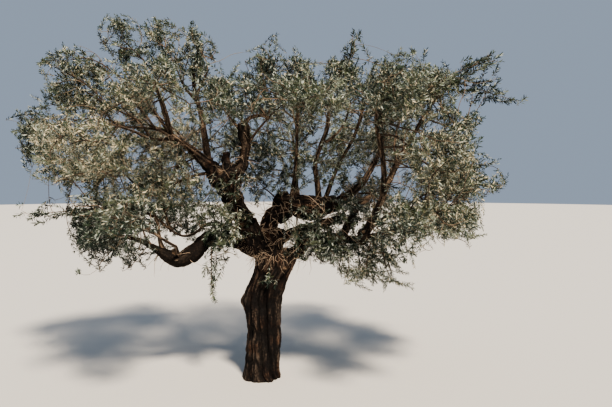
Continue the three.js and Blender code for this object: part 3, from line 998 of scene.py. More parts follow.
def young_bark_shape(limb, seed):
    """A thin limb with a collar at its foot, small swellings and shallow ridges."""
    fine = limb.resampled(YOUNG_RING_STEP)
    angles = np.arange(YOUNG_LIMB_SIDES) / YOUNG_LIMB_SIDES * 2 * math.pi
    along, angle = [places.ravel() for places in np.meshgrid(fine.along, angles, indexing="ij")]
    radius = np.repeat(fine.radii, YOUNG_LIMB_SIDES)
    height, crest = bark_relief(along, angle, radius, seed, THIN_BARK)
    swell = height + COLLAR_SHARE * radius * np.exp(-along / COLLAR_LENGTH)
    points, faces = round_skin(fine, YOUNG_LIMB_SIDES, swell.reshape(-1, YOUNG_LIMB_SIDES))
    ends = len(points) - len(crest)
    crest = np.concatenate([crest, np.full(ends, TIP_CREST)])
    girth = np.concatenate([radius, np.full(ends, fine.radii[-1])])
    grain = ring_places(along, angle, radius, GRAIN_SQUEEZE)
    return (points, faces), crest, girth, np.concatenate([grain, np.repeat(grain[-1:], ends, axis=0)])


def young_bark_mesh(limbs):
    """The bark of the thin limbs, which stores the same values as the old bark does."""
    rows = [young_bark_shape(limb, FIRST_THIN_SEED + THIN_LIMB_SEEDS * index)
            for index, limb in enumerate(limbs)]
    shapes, crests, girths, grains = zip(*rows)
    mesh = mesh_from("young_bark", *joined(shapes))
    put_values(mesh, "crest", np.concatenate(crests))
    put_values(mesh, "girth", np.concatenate(girths))
    put_values(mesh, "bare", np.zeros(len(mesh.vertices)))
    put_values(mesh, "grain", np.concatenate(grains))
    return mesh


# Tips: the places in the crown where the leafy shoots end.

TIPS_PER_CUBIC_METRE = 415
SURFACE_DEPTH = 0.2

# Where the sky shows through the crown from the front: the middle of each opening across and up
# on the plane of the trunk, how wide and high it is, and the share of the leaves that is missing.
OPENINGS = [
    (-0.06, 3.34, 0.22, 0.24, 0.95), (-1.41, 3.46, 0.20, 0.16, 0.90), (0.30, 3.21, 0.20, 0.20, 0.90),
    (2.36, 3.34, 0.40, 0.16, 0.85), (-2.66, 3.02, 0.36, 0.26, 0.80), (-2.12, 3.67, 0.16, 0.16, 0.80),
    (-0.55, 3.42, 0.20, 0.26, 0.80), (-0.48, 4.20, 0.24, 0.44, 0.90), (-1.64, 4.49, 0.13, 0.18, 0.75),
    (-1.24, 4.46, 0.13, 0.18, 0.75), (-2.17, 4.39, 0.16, 0.14, 0.70), (-1.95, 4.56, 0.16, 0.26, 0.75),
    (-1.08, 4.46, 0.14, 0.18, 0.75), (-2.74, 4.08, 0.22, 0.16, 0.85), (-1.36, 3.70, 0.16, 0.28, 0.90),
    (-1.77, 3.41, 0.13, 0.10, 0.80), (-2.09, 4.70, 0.16, 0.20, 0.75), (1.71, 4.23, 0.12, 0.14, 0.75),
    (2.15, 4.19, 0.12, 0.12, 0.75),
]
OPENING_EDGE = 3.0
OPENING_SLOPE = 2.2

# Masses that are thinner or thicker than the rest, as a share of the usual number of tips.
MASS_SHARES = {
    "mass_back_middle": 0.50, "mass_back_left": 0.80, "mass_back_right": 0.80, "mass_back_low_left": 0.80,
    "mass_back_low_right": 0.80, "mass_right_spray_high": 0.50, "mass_right_spray_far": 0.12,
    "mass_spire": 1.60, "mass_under_arm": 1.40, "mass_right_low": 1.20, "mass_right_low_fore": 1.20,
    "mass_right_side": 1.20, "mass_right_bulge": 1.20, "mass_left_tip": 1.25, "mass_low_left_outer": 1.20,
    "mass_left_top_fore": 0.70, "mass_left_fore": 0.80, "mass_top_left": 0.85, "mass_top_peak": 0.80,
    "mass_top_brow": 0.85,
}

# Limbs that show from the front, with fewer leaves before them.
SHOWN_BOUGHS = """arch arch_rise left_fan_arm left_fan_steep left_upright left_pruned
    low_left_elbow low_left_reach arch_right arch_upright_left arch_upright_mid
    arch_upright_right right_riser right_riser_left right_inner left_root""".split()
SHOWN_THIN = """fan_low fan_flat fan_middle fan_high fan_branch_low left_pale left_head_arm
    low_left_rise low_left_loop right_riser_middle right_riser_fork upright_middle_fork
    pruned_shoot_right pruned_shoot_low left_upright_fork_left""".split()
SHOWN_LIMBS = ["trunk"] + ["bough_" + name for name in SHOWN_BOUGHS] + SHOWN_THIN
CLEAR_BESIDE_LIMB = 0.035
CLEAR_BEHIND = 0.05
CLEAR_SHARE = 0.8

# How ragged a mass is and how its tips gather into clumps: height of the noise, size and seed.
RAGGED = ((0.17, 0.24, 21), (0.05, 0.1, 24))
RAGGED_LEVEL = 0.095
CLUMPS = ((1.0, 0.25, 22), (0.5, 0.11, 23))
CLUMP_LEVEL = 0.95
CLUMP_GAIN = 1.5
CLUMP_LIMITS = (0.06, 1.5)
TRIES_PER_TIP = 2.6
SURFACE_CHANCE = 0.66
INSIDE_CHANCE = 0.34


def seen_plane(points):
    """Where the line of sight from the camera to each point meets the plane of the trunk."""
    eye = np.array(CAMERA_PLACE)
    scale = -eye[1] / (points[:, 1] - eye[1])
    return eye[::2] + (points[:, ::2] - eye[::2]) * scale[:, None]


def missing_share(points, limbs):
    """The share of the leaves that is missing at each point, because the sky or a limb shows."""
    seen = seen_plane(points)
    left = np.zeros(len(points))
    for across, up, wide, high, share in OPENINGS:
        out = np.hypot((seen[:, 0] - across) / (wide / 2), (seen[:, 1] - up) / (high / 2))
        left = np.maximum(left, share * np.clip(OPENING_EDGE - OPENING_SLOPE * out, 0, 1))
    before = np.zeros(len(points))
    for limb in limbs:
        fine = limb.resampled(LINE_STEP)
        away = distances(seen, seen_plane(fine.points))
        nearest = np.argmin(away, axis=1)
        beside = away[np.arange(len(points)), nearest] - fine.radii[nearest]
        nearer = points[:, 1] < fine.points[nearest, 1] + CLEAR_BEHIND
        clear = CLEAR_SHARE * np.clip(2 - beside / CLEAR_BESIDE_LIMB, 0, 1)
        before = np.maximum(before, nearer * clear)
    return 1 - (1 - left) * (1 - before)


def mass_tips(node, shown, generator):
    """Tips inside one mass of foliage, thicker near its surface, in clumps with gaps."""
    solid = solid_of([node])
    low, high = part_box(node.name)
    room = float(np.prod(np.subtract(high, low)))
    share = MASS_SHARES.get(node.name, 1.0)
    count = int(room * TIPS_PER_CUBIC_METRE * share * TRIES_PER_TIP)
    tries = generator.uniform(low, high, (count, 3))
    ragged = sum(rise * smooth_noise(tries, size, seed) for rise, size, seed in RAGGED) - RAGGED_LEVEL
    clump = sum(rise * smooth_noise(tries, size, seed) for rise, size, seed in CLUMPS)
    missing = missing_share(tries, shown)
    luck = generator.random(len(tries))
    kept = []
    for index, place in enumerate(tries):
        near, normal, _, distance = solid.find_nearest(Vector(place))
        outward = distance if (Vector(place) - near).dot(normal) > 0 else -distance
        if outward > ragged[index]:
            continue
        chance = SURFACE_CHANCE if outward > -SURFACE_DEPTH else INSIDE_CHANCE
        chance *= np.clip(CLUMP_LEVEL + CLUMP_GAIN * clump[index], *CLUMP_LIMITS)
        if luck[index] < chance * (1 - missing[index]):
            kept.append(place)
    return np.array(kept).reshape(-1, 3)


# Sprays outside the masses: the middle of each patch, how far it spreads, the number of shoots,
# and the mass whose leaves they join. These hang before the wood.
SPRAYS_BEFORE_WOOD = [
    ((-0.50, -0.46, 2.06), (0.13, 0.07, 0.17), 66, "left_inside"),
    ((-0.95, -0.42, 2.32), (0.26, 0.09, 0.12), 40, "left_inside"),
    ((-0.44, -0.40, 1.80), (0.12, 0.06, 0.08), 26, "left_inside"),
    ((-0.46, -0.36, 2.55), (0.10, 0.05, 0.08), 10, "left_inside"),
    ((0.10, -0.34, 1.32), (0.04, 0.02, 0.05), 7, "under_arm"),
    ((0.85, -0.28, 2.02), (0.26, 0.08, 0.10), 46, "under_arm"),
    ((0.80, -0.28, 1.72), (0.20, 0.08, 0.11), 70, "under_arm"),
    ((-1.72, -0.45, 1.68), (0.26, 0.12, 0.08), 50, "low_left_outer"),
    ((1.20, -0.26, 2.22), (0.20, 0.08, 0.12), 24, "under_arm"),
    ((1.12, -0.22, 1.70), (0.14, 0.09, 0.08), 56, "under_arm"),
    ((1.36, -0.25, 1.46), (0.13, 0.09, 0.09), 44, "right_low"),
]

# These fill the crown out between its masses and stand up from its top.
SPRAY_PATCHES = [
    ((0.30, -0.02, 2.62), (0.08, 0.06, 0.10), 14, "top_dip"),
    ((0.62, 0.05, 2.70), (0.22, 0.18, 0.14), 60, "top_dip"),
    ((1.10, 0.10, 2.80), (0.20, 0.18, 0.16), 60, "top_dip"),
    ((0.10, 0.00, 2.95), (0.14, 0.14, 0.16), 34, "top_dip"),
    ((-0.28, -0.10, 3.52), (0.10, 0.06, 0.08), 10, "top_dip"),
    ((-0.52, 0.10, 3.12), (0.12, 0.12, 0.12), 44, "left_brow"),
    ((-0.62, 0.15, 3.60), (0.12, 0.12, 0.16), 40, "left_brow"),
    ((-0.42, 0.05, 3.85), (0.14, 0.12, 0.16), 36, "left_brow"),
    ((-0.12, 0.10, 2.62), (0.14, 0.12, 0.16), 40, "top_dip"),
    ((0.02, 0.15, 3.10), (0.14, 0.16, 0.14), 40, "top_dip"),
    ((0.05, 0.05, 3.75), (0.16, 0.14, 0.16), 34, "top_dip"),
    ((0.14, 0.10, 4.35), (0.13, 0.12, 0.10), 18, "top_dip"),
    ((-3.07, -0.05, 3.30), (0.05, 0.12, 0.13), 50, "left_tip"),
    ((-2.74, -0.05, 3.79), (0.09, 0.12, 0.07), 36, "left_shoulder"),
    ((-0.90, 0.00, 4.58), (0.06, 0.08, 0.06), 16, "top_brow"),
    ((-1.36, 0.00, 4.68), (0.06, 0.08, 0.05), 12, "top_peak"),
    ((-1.80, 0.00, 4.66), (0.06, 0.08, 0.05), 12, "top_left"),
    ((1.91, 0.00, 4.25), (0.06, 0.08, 0.06), 14, "top_right"),
    ((-0.60, -1.15, 3.55), (0.25, 0.25, 0.15), 60, "left_top_fore"),
    ((1.00, -1.10, 3.45), (0.25, 0.22, 0.15), 50, "top_dip_fore"),
    ((-0.85, -0.75, 3.80), (0.25, 0.20, 0.14), 50, "left_top_fore"),
    ((-0.30, -0.75, 3.80), (0.22, 0.20, 0.12), 40, "top_dip_fore"),
    ((-1.05, -0.80, 2.75), (0.22, 0.22, 0.20), 50, "left_fore"),
    ((1.60, -0.80, 3.60), (0.22, 0.22, 0.20), 50, "top_right_fore"),
    ((0.50, 0.35, 3.05), (0.16, 0.12, 0.14), 50, "top_dip"),
    ((1.35, 0.30, 3.50), (0.14, 0.12, 0.12), 20, "top_dip"),
    ((-0.95, -0.02, 1.94), (0.17, 0.10, 0.08), 50, "left_inside"),
    ((-1.55, 0.75, 3.00), (0.35, 0.20, 0.35), 90, "back_left"),
    ((-0.35, 1.00, 2.90), (0.25, 0.20, 0.25), 34, "back_middle"),
    ((0.95, 1.10, 3.00), (0.25, 0.20, 0.25), 34, "back_middle"),
    ((1.75, 0.75, 2.90), (0.35, 0.20, 0.38), 90, "back_right"),
    ((-0.35, 0.75, 3.75), (0.35, 0.20, 0.16), 70, "back_middle"),
    ((0.75, 0.75, 3.80), (0.35, 0.20, 0.18), 70, "back_middle"),
    ((-1.60, -0.60, 3.72), (0.28, 0.15, 0.13), 40, "left_top_fore"),
    ((-1.60, -0.60, 2.35), (0.28, 0.15, 0.13), 40, "low_left_fore"),
    ((0.25, -0.60, 3.70), (0.35, 0.15, 0.14), 60, "top_dip_fore"),
    ((1.15, -0.60, 3.66), (0.25, 0.15, 0.14), 44, "top_dip_fore"),
    ((2.00, -0.62, 2.90), (0.24, 0.15, 0.30), 60, "right_fore"),
]
SPRAYS_FACE_FROM = (0.0, 0.3, 0.05)

# Single twigs that stand out of the crown or hang from it, from where they leave it to their tip.
STRAY_TWIGS = [
    [(-2.70, -0.20, 2.20), (-2.95, -0.15, 2.16), (-3.12, -0.10, 2.22)],
    [(-0.62, -0.30, 1.80), (-0.62, -0.34, 1.40), (-0.60, -0.36, 1.12)],
    [(2.40, -0.20, 3.86), (2.56, -0.20, 3.85), (2.81, -0.21, 3.76), (3.07, -0.22, 3.68),
     (3.30, -0.23, 3.62)],
    [(2.36, -0.25, 3.92), (2.72, -0.26, 3.84), (3.00, -0.27, 3.90)],
    [(2.30, -0.22, 3.88), (2.68, -0.23, 4.06), (2.88, -0.24, 4.12), (3.04, -0.24, 4.12)],
    [(2.66, -0.20, 4.04), (2.86, -0.22, 4.16), (2.93, -0.22, 4.25)],
    [(1.10, -0.05, 4.05), (1.16, -0.05, 4.25), (1.18, -0.05, 4.40), (1.18, -0.05, 4.50)],
    [(1.12, -0.08, 4.10), (1.20, -0.09, 4.28), (1.21, -0.09, 4.42)],
]
STRAY_TIP_STEP = 0.1
STRAY_TIPS_AT_STEP = 2
STRAY_TIP_SPREAD = 0.045
STRAY_RADII = (0.009, 0.0025)
STRAY_SIDES = 4
STRAY_SWERVE = 0.35
STRAY_LEAF_SCALE = 1.25
STRAY_MASS = "low_left_outer"


def stray_stems(limbs):
    """The stems of the single twigs, each from the nearest limb on."""
    places = np.concatenate([limb.points for limb in limbs])
    stems = []
    for way in STRAY_TWIGS:
        nearest = places[np.argmin(np.linalg.norm(places - way[0], axis=1))]
        line = smooth_way([nearest] + way, LINE_STEP)
        stems.append(Limb("stray_twig", line, np.linspace(*STRAY_RADII, len(line))))
    return stems


def all_tips(nodes, mass_names, shown):
    """The tips of all shoots, the middle that each points away from, the number of its mass, the
    scale of its leaves and how much it swerves."""
    rows = []
    for index, name in enumerate(mass_names):
        found = mass_tips(nodes[name], shown, dice(MASS_DICE + index))
        middle = np.tile(sum(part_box(name), Vector()) / 2, (len(found), 1))
        rows.append((found, middle, name, 1.0, 1.0))
    for index, (place, spread, count, mass) in enumerate(SPRAYS_BEFORE_WOOD + SPRAY_PATCHES):
        generator = dice(PATCH_DICE + index)
        found = np.array(place) + generator.normal(0, 1, (count, 3)) * spread
        if index >= len(SPRAYS_BEFORE_WOOD):
            found = found[generator.random(count) >= missing_share(found, shown)]
        rows.append((found, found + SPRAYS_FACE_FROM, "mass_" + mass, 1.0, 1.0))
    for index, way in enumerate(STRAY_TWIGS):
        line = smooth_way(way, STRAY_TIP_STEP)
        tangents = np.repeat(unit(np.gradient(line, axis=0)), STRAY_TIPS_AT_STEP, axis=0)
        line = np.repeat(line, STRAY_TIPS_AT_STEP, axis=0)
        found = line + dice(STRAY_DICE + index).normal(0, STRAY_TIP_SPREAD, line.shape)
        rows.append((found, found - tangents, "mass_" + STRAY_MASS, STRAY_LEAF_SCALE, STRAY_SWERVE))
    tips, middles, masses, scales, swerves = zip(*rows)
    counts = [len(found) for found in tips]
    numbers = np.repeat([mass_names.index(name) for name in masses], counts)
    return (np.concatenate(tips), np.concatenate(middles), numbers, np.repeat(scales, counts),
            np.repeat(swerves, counts))


# Shoots. Each heads away from the middle of its mass and of the crown, swerves, lifts a little
# and then bends down, and more so in the lower part of the crown.
CROWN_MIDDLE = (0.1, 0.1, 2.6)
SHOOT_LENGTHS = (0.14, 0.32)
OUTWARD_SHARE = 0.75
SWERVE = 0.5
BEND = 0.15
UPPER_LIFT = 0.34
LOWER_LIFT = 0.06
UPPER_DROOP = 0.04
LOWER_DROOP = 0.14


def planned_shoots(tips, middles, swerve, generator):
    """For each tip a leafy shoot: its bend and the place where it begins."""
    count = len(tips)
    upper = tips[:, 2] > CROWN_MIDDLE[2]
    outward = 0.5 * unit(tips - middles) + 0.5 * unit(tips - np.array(CROWN_MIDDLE))
    heading = OUTWARD_SHARE * outward + generator.normal(0, SWERVE, (count, 3)) * swerve[:, None]
    heading[:, 2] += np.where(upper, UPPER_LIFT, LOWER_LIFT) * swerve
    length = generator.uniform(*SHOOT_LENGTHS, count)
    bend = generator.normal(0, BEND, (count, 3))
    bend[:, 2] -= np.where(upper, UPPER_DROOP, LOWER_DROOP)
    return bend, tips - (unit(heading) + bend) * length[:, None]


# Growth of the branches. A goal is the place where a leafy shoot begins, and a branch has to
# reach it. Bare limbs have no buds, and a bare foot is how far a limb is bare from its foot on.

GROWTH_STEP = 0.075
BUD_SPACING = 0.2
GOAL_REACH = 0.5
GOAL_FED = 0.09
MOST_GROWTH_ROUNDS = 80
MOST_BRANCHES_FROM_ONE = 3
OLD_HEADING_SHARE = 0.35
GROWTH_SWERVE = 0.22
GROWTH_LIFT = 0.08
BARE_LIMBS = ["bough_low_left_elbow"]
BARE_FEET = {"bough_low_left_reach": 0.5}


def buds_on(limbs):
    """The places, limb radii and directions of the buds along the limbs."""
    buds = []
    for limb in limbs:
        bare_foot = BARE_FEET.get(limb.name, 0.5 * BUD_SPACING)
        wanted = np.append(np.arange(bare_foot, limb.along[-1], BUD_SPACING), limb.along[-1])
        buds += [limb.at(distance) for distance in wanted]
    return [np.array(values) for values in zip(*buds)]


def look_for_goals(places, fresh, goals, fed, best, nearest):
    """Notes down the goals that are nearer to one of the fresh places than to any before."""
    tree = KDTree(len(fresh))
    for index in fresh:
        tree.insert(places[index], index)
    tree.balance()
    for goal in np.flatnonzero(~fed):
        _, index, distance = tree.find(goals[goal])
        if distance < best[goal]:
            best[goal] = distance
            nearest[goal] = index


def turned_headings(pull, headings, generator):
    """New directions for growing ends: towards their goals, partly on as before, a little up."""
    swerve = generator.normal(0, GROWTH_SWERVE, headings.shape)
    way = unit(pull) + OLD_HEADING_SHARE * headings + swerve
    way[:, 2] += GROWTH_LIFT
    return unit(way)


def grow_branches(limbs, goals, generator):
    """Branches from buds on the limbs: in each round every free end steps towards the goals that
    are nearest to it. Returns places, parents, the limb radius at each bud, and each goal's end."""
    places, bud_radii, headings = buds_on(limbs)
    parents = np.full(len(places), -1)
    branches = np.zeros(len(places), int)
    fresh = np.arange(len(places))
    best = np.full(len(goals), np.inf)
    nearest = np.full(len(goals), -1)
    fed = np.zeros(len(goals), bool)
    for _ in range(MOST_GROWTH_ROUNDS):
        look_for_goals(places, fresh, goals, fed, best, nearest)
        fed |= best < GOAL_FED
        pulling = np.flatnonzero(~fed & (best < GOAL_REACH))
        pulling = pulling[branches[nearest[pulling]] < MOST_BRANCHES_FROM_ONE]
        if not len(pulling):
            break
        pull = np.zeros((len(places), 3))
        np.add.at(pull, nearest[pulling], unit(goals[pulling] - places[nearest[pulling]]))
        ends = np.unique(nearest[pulling])
        way = turned_headings(pull[ends], headings[ends], generator)
        branches[ends] += 1
        fresh = np.arange(len(places), len(places) + len(ends))
        places = np.concatenate([places, places[ends] + way * GROWTH_STEP])
        headings = np.concatenate([headings, way])
        parents = np.concatenate([parents, ends])
        branches = np.concatenate([branches, np.zeros(len(ends), int)])
    bud_radii = np.concatenate([bud_radii, np.full(len(places) - len(bud_radii), np.inf)])
    return places, parents, bud_radii, np.where(fed, nearest, -1)


def pruned_growth(places, parents, bud_radii, ends):
    """Only the nodes that lead to a fed goal, renumbered."""
    needed = np.zeros(len(places), bool)
    for node in ends[ends >= 0]:
        while node >= 0 and not needed[node]:
            needed[node] = True
            node = parents[node]
    number = np.full(len(places) + 1, -1)
    number[:-1][needed] = np.arange(needed.sum())
    return places[needed], number[parents[needed]], bud_radii[needed], number[ends]


# Branches as tubes: each is as thick as the sprays it feeds need, and thinner than its limb.

TWIG_RADIUS = 0.0025
PIPE_POWER = 2.25
THINNER_THAN_LIMB = 0.8
RELAXING_SHARE = 0.55
RELAXING_ROUNDS = 3
FOOT_SWELL = 1.15
TIP_SHARE = 0.7
SIDES_BY_RADIUS = [(0.012, 7), (0.006, 5), (0.0032, 4), (0.0, 3)]
TONE_RADII = (0.009, 0.004)


def branch_radii(parents, bud_radii, ends):
    """The radius of the branch that ends at each node, and the heaviest node that follows it."""
    load = np.zeros(len(parents))
    np.add.at(load, ends[ends >= 0], 1.0)
    heaviest = np.full(len(parents), -1)
    heaviest_load = np.zeros(len(parents))
    for node in range(len(parents) - 1, -1, -1):
        parent = parents[node]
        if parent >= 0:
            load[parent] += load[node]
            if load[node] > heaviest_load[parent]:
                heaviest_load[parent] = load[node]
                heaviest[parent] = node
    radii = TWIG_RADIUS * np.maximum(load, 1) ** (1 / PIPE_POWER)
    root_radii = bud_radii.copy()
    for node, parent in enumerate(parents):
        if parent >= 0:
            root_radii[node] = root_radii[parent]
            radii[node] = min(radii[node], THINNER_THAN_LIMB * root_radii[node])
    return radii, heaviest


def relaxed(places, parents, heaviest):
    """Branches with their kinks eased, their buds and tips kept."""
    places = places.copy()
    moving = np.flatnonzero((parents >= 0) & (heaviest >= 0))
    for _ in range(RELAXING_ROUNDS):
        middle = 0.5 * (places[parents[moving]] + places[heaviest[moving]])
        places[moving] = (1 - RELAXING_SHARE) * places[moving] + RELAXING_SHARE * middle
    return places


def grown_branches(limbs, goals):
    """The branches between the limbs and the goals, with their radii."""
    growing = [limb for limb in limbs if limb.name not in BARE_LIMBS]
    places, parents, bud_radii, ends = pruned_growth(*grow_branches(growing, goals, dice(GROWTH_DICE)))
    radii, heaviest = branch_radii(parents, bud_radii, ends)
    return relaxed(places, parents, heaviest), parents, radii, heaviest, ends


def chains_of(parents, heaviest):
    """The branches as rows of nodes: each starts at the node it forks from and follows the
    heaviest limb to its end."""
    chains = []
    for node, parent in enumerate(parents):
        goes_on = heaviest[parent] == node and parents[parent] >= 0
        if parent < 0 or goes_on:
            continue
        chain = [parent, node]
        while heaviest[chain[-1]] >= 0:
            chain.append(heaviest[chain[-1]])
        chains.append(chain)
    return chains


def branch_shapes(places, radii, chains):
    """A tapering tube for each branch, with more sides where it is thick, and its faces' tones."""
    shapes = []
    tones = []
    for chain in chains:
        thick = radii[chain]
        thick[0] = thick[1] * FOOT_SWELL
        thick[-1] = TWIG_RADIUS * TIP_SHARE
        sides = next(count for least, count in SIDES_BY_RADIUS if thick[0] >= least)
        shapes.append(open_tube(places[chain], thick, sides))
        tones.append(np.full(len(shapes[-1][1]), sum(thick[0] <= limit for limit in TONE_RADII)))
    return shapes, tones


# Shoots and leaves.

def fed_shoots(places, tips, bend, ends):
    """The shoots whose beginning a branch has reached: start, heading, bend, length and number."""
    fed = np.flatnonzero(ends >= 0)
    start = places[ends[fed]]
    reach = tips[fed] - start
    length = np.linalg.norm(reach, axis=1)
    return start, reach / length[:, None] - bend[fed], bend[fed], length, fed


def shoot_point(start, heading, bend, length, part):
    """The place on each shoot at a part of its length."""
    return start + (heading * part[:, None] + bend * part[:, None] ** 2) * length[:, None]


STEM_SIDES = 3
STEM_SHARES = np.array((0.85, 0.65))
STEM_ASLANT = (0.3, 0.2, 0.93)


def shoot_stems(start, heading, bend, length):
    """Thin three-sided stems for the shoots."""
    count = len(start)
    line = np.stack([shoot_point(start, heading, bend, length, np.full(count, part))
                     for part in (0.0, 0.5, 1.0)], axis=1)
    side = unit(np.cross(heading, STEM_ASLANT))
    out = around(side, unit(np.cross(heading, side)), STEM_SIDES)
    rings = line[:, :2, None, :] + out[:, None, :, :] * (TWIG_RADIUS * STEM_SHARES)[:, None, None]
    tip = 2 * STEM_SIDES
    points = np.concatenate([rings.reshape(count, tip, 3), line[:, 2:]], axis=1)
    faces = np.concatenate([ring_faces(2, STEM_SIDES), fan(tip, STEM_SIDES, STEM_SIDES)])
    every = faces + (np.arange(count) * (tip + 1))[:, None, None]
    return points.reshape(-1, 3), every.reshape(-1, 3)


# One leaf lies along its length and across its width: foot, two shoulders, a cheek and the tip.
LEAF_LENGTH = 0.053
LEAF_WIDTH = 0.0136
LEAF_ALONG = np.array([0.0, 0.30, 0.44, 0.74, 1.0])
LEAF_ACROSS = np.array([0.0, 0.5, -0.5, 0.36, 0.0])
LEAF_FACES = np.array([[0, 2, 1], [1, 2, 3], [3, 2, 4]])
LEAF_SIZES = (0.78, 1.16)
LEAF_WIDTHS = (0.85, 1.15)
LEAF_SAG = (-0.22, 0.14)
LEAF_ROLL = 0.5
LEAF_BOW = (0.1, 0.09)
LEAF_ASLANT = (0.31, 0.12, 0.94)

# Pairs of leaves along a shoot: how far apart, how many at least and at most, how they turn,
# their angle to the stem in degrees at its foot and how much less it is at its tip, and how much
# smaller the first and last leaves are.
PAIR_SPACING = 0.0152
PAIR_COUNTS = (3, 22)
FIRST_PAIR = 0.9
PAIR_SWERVE = 0.35
FOOT_ANGLE = 62
ANGLE_LOSS = 30
ANGLE_SPREAD = 0.2
END_SIZE = 0.72
MIDDLE_SIZE = 0.34


def leaves_at(foot, stem, outward, part, scale, generator):
    """One leaf at each foot, on the outward side of its stem: its points and how far its face
    looks up."""
    count = len(foot)
    lean = np.radians(FOOT_ANGLE - ANGLE_LOSS * part) + generator.normal(0, ANGLE_SPREAD, count)
    way = stem * np.cos(lean)[:, None] + outward * np.sin(lean)[:, None]
    way[:, 2] += generator.uniform(*LEAF_SAG, count)
    way = unit(way)
    face = unit(stem - way * np.sum(stem * way, axis=1, keepdims=True))
    roll = generator.normal(0, LEAF_ROLL, count)[:, None]
    face = face * np.cos(roll) + np.cross(way, face) * np.sin(roll)
    size = scale * LEAF_LENGTH * generator.uniform(*LEAF_SIZES, count)
    size *= END_SIZE + MIDDLE_SIZE * np.sin(math.pi * part)
    width = LEAF_WIDTH * generator.uniform(*LEAF_WIDTHS, count) * size / LEAF_LENGTH
    bow = generator.normal(*LEAF_BOW, count)
    points = (foot[:, None, :]
              + way[:, None, :] * (size[:, None] * LEAF_ALONG)[:, :, None]
              + np.cross(way, face)[:, None, :] * (width[:, None] * LEAF_ACROSS)[:, :, None]
              - face[:, None, :] * (bow[:, None] * size[:, None] * LEAF_ALONG ** 2)[:, :, None])
    return points, face[:, 2]


def shoot_leaves(start, heading, bend, length, scale, generator):
    """Leaves in opposite pairs along each shoot, every pair a quarter turn from the last.
    Returns the points of every leaf, the shoot it is on and how far its face looks up."""
    pairs = np.clip(np.round(length / PAIR_SPACING), *PAIR_COUNTS).astype(int)
    shoot = np.repeat(np.arange(len(start)), pairs)
    pair = np.concatenate([np.arange(number) for number in pairs])
    part = (pair + FIRST_PAIR) / pairs[shoot]
    foot = shoot_point(start[shoot], heading[shoot], bend[shoot], length[shoot], part)
    stem = unit(heading[shoot] + 2 * bend[shoot] * part[:, None])
    phase = generator.uniform(0, 2 * math.pi, len(start))[shoot]
    turn = phase + pair * math.pi / 2 + generator.normal(0, PAIR_SWERVE, len(shoot))
    first = unit(np.cross(stem, LEAF_ASLANT))
    side = first * np.cos(turn)[:, None] + np.cross(stem, first) * np.sin(turn)[:, None]
    rows = []
    for outward in (side, -side):
        points, upward = leaves_at(foot, stem, outward, part, scale[shoot], generator)
        rows.append((points, shoot, upward))
    return [np.concatenate(values) for values in zip(*rows)]


# Leaf tones. A spray has one tone for the upper sides of its leaves, and the leaves that show their
# undersides are silvery, some of them cream as painted sunlight.
LEAF_TONES = [
    ("leaf_deep", (0.015, 0.027, 0.019), 0.42),
    ("leaf_green", (0.036, 0.056, 0.034), 0.42),
    ("leaf_olive", (0.084, 0.103, 0.060), 0.45),
    ("leaf_grey", (0.160, 0.184, 0.138), 0.5),
    ("leaf_silver", (0.330, 0.365, 0.320), 0.6),
    # Cream is painted sunlight on the leaves' silvery undersides.
    ("leaf_painted_sunlit_cream", (0.560, 0.500, 0.360), 0.6),
]
SILVER = 4
PAINTED_SUNLIT_CREAM = 5
TONE_SEED = 31
TONE_PATCH = 0.45
TONE_SPREAD = 0.5
TONE_LEVEL = 0.25
TONE_STEPS = (-0.45, 0.10, 0.70)

# The share of leaves that show their undersides, how it grows where sunlight is painted and falls on
# leaves that face up, and the share of them painted cream as sunlit, which grows there too.
UNDERSIDE_SHARE = 0.27
UNDERSIDE_IN_PAINTED_SUN = 0.15
UNDERSIDE_UPWARD = 0.08
PAINTED_SUNLIT_CREAM_SHARE = 0.15
PAINTED_SUNLIT_CREAM_GAIN = 0.45

# Painted sunlight on the palest and warmest parts of the crown, and painted shade on the dullest: the
# middle of each across and up, how wide and high it is, and how much paler or duller.
PAINTED_SUN_AND_SHADE_PARTS = [
    ((-1.80, 3.00), 1.00, 0.80, 1.10), ((2.10, 2.80), 0.70, 0.80, 0.75),
    ((-1.70, 1.90), 1.00, 0.45, -1.20), ((-3.00, 3.35), 0.50, 0.40, -0.70),
    ((0.90, 1.80), 0.60, 0.40, -0.40), ((1.35, 1.50), 0.50, 0.40, 0.50),
    ((3.00, 3.90), 0.50, 0.40, -0.70),
]
PAINTED_SUN_AND_SHADE_EDGE = 1.4
PAINTED_SUN_AND_SHADE_STRENGTH = 0.85


def leaf_tones(shoot, upward, shoot_start, generator):
    """The tone of each leaf: by spray for the upper sides, paler where sunlight is painted and duller
    where shade is painted; silvery for the undersides, some of them cream as painted sunlight.
    """
    count = len(shoot_start)
    patch = smooth_noise(shoot_start, TONE_PATCH, TONE_SEED)
    patch += generator.normal(0, TONE_SPREAD, count)
    # warm is painted sunlight where above 0 and painted shade where below 0.
    warm = np.zeros(count)
    for middle, wide, high, strength in PAINTED_SUN_AND_SHADE_PARTS:
        away = np.hypot(*((shoot_start[:, ::2] - middle) / (wide, high)).T)
        warm += strength * np.clip(PAINTED_SUN_AND_SHADE_EDGE - away, 0, 1)
    upper = np.digitize(patch + PAINTED_SUN_AND_SHADE_STRENGTH * warm - TONE_LEVEL, TONE_STEPS)
    luck = generator.random(len(shoot))
    under = luck < UNDERSIDE_SHARE + UNDERSIDE_IN_PAINTED_SUN * warm[shoot] - UNDERSIDE_UPWARD * upward
    # Painted sunlight: some undersides are cream, more of them in the painted sunlit parts.
    painted_sunlit_cream = generator.random(len(shoot)) < PAINTED_SUNLIT_CREAM_SHARE + PAINTED_SUNLIT_CREAM_GAIN * warm[shoot]
    return np.where(under, np.where(painted_sunlit_cream, PAINTED_SUNLIT_CREAM, SILVER), upper[shoot])


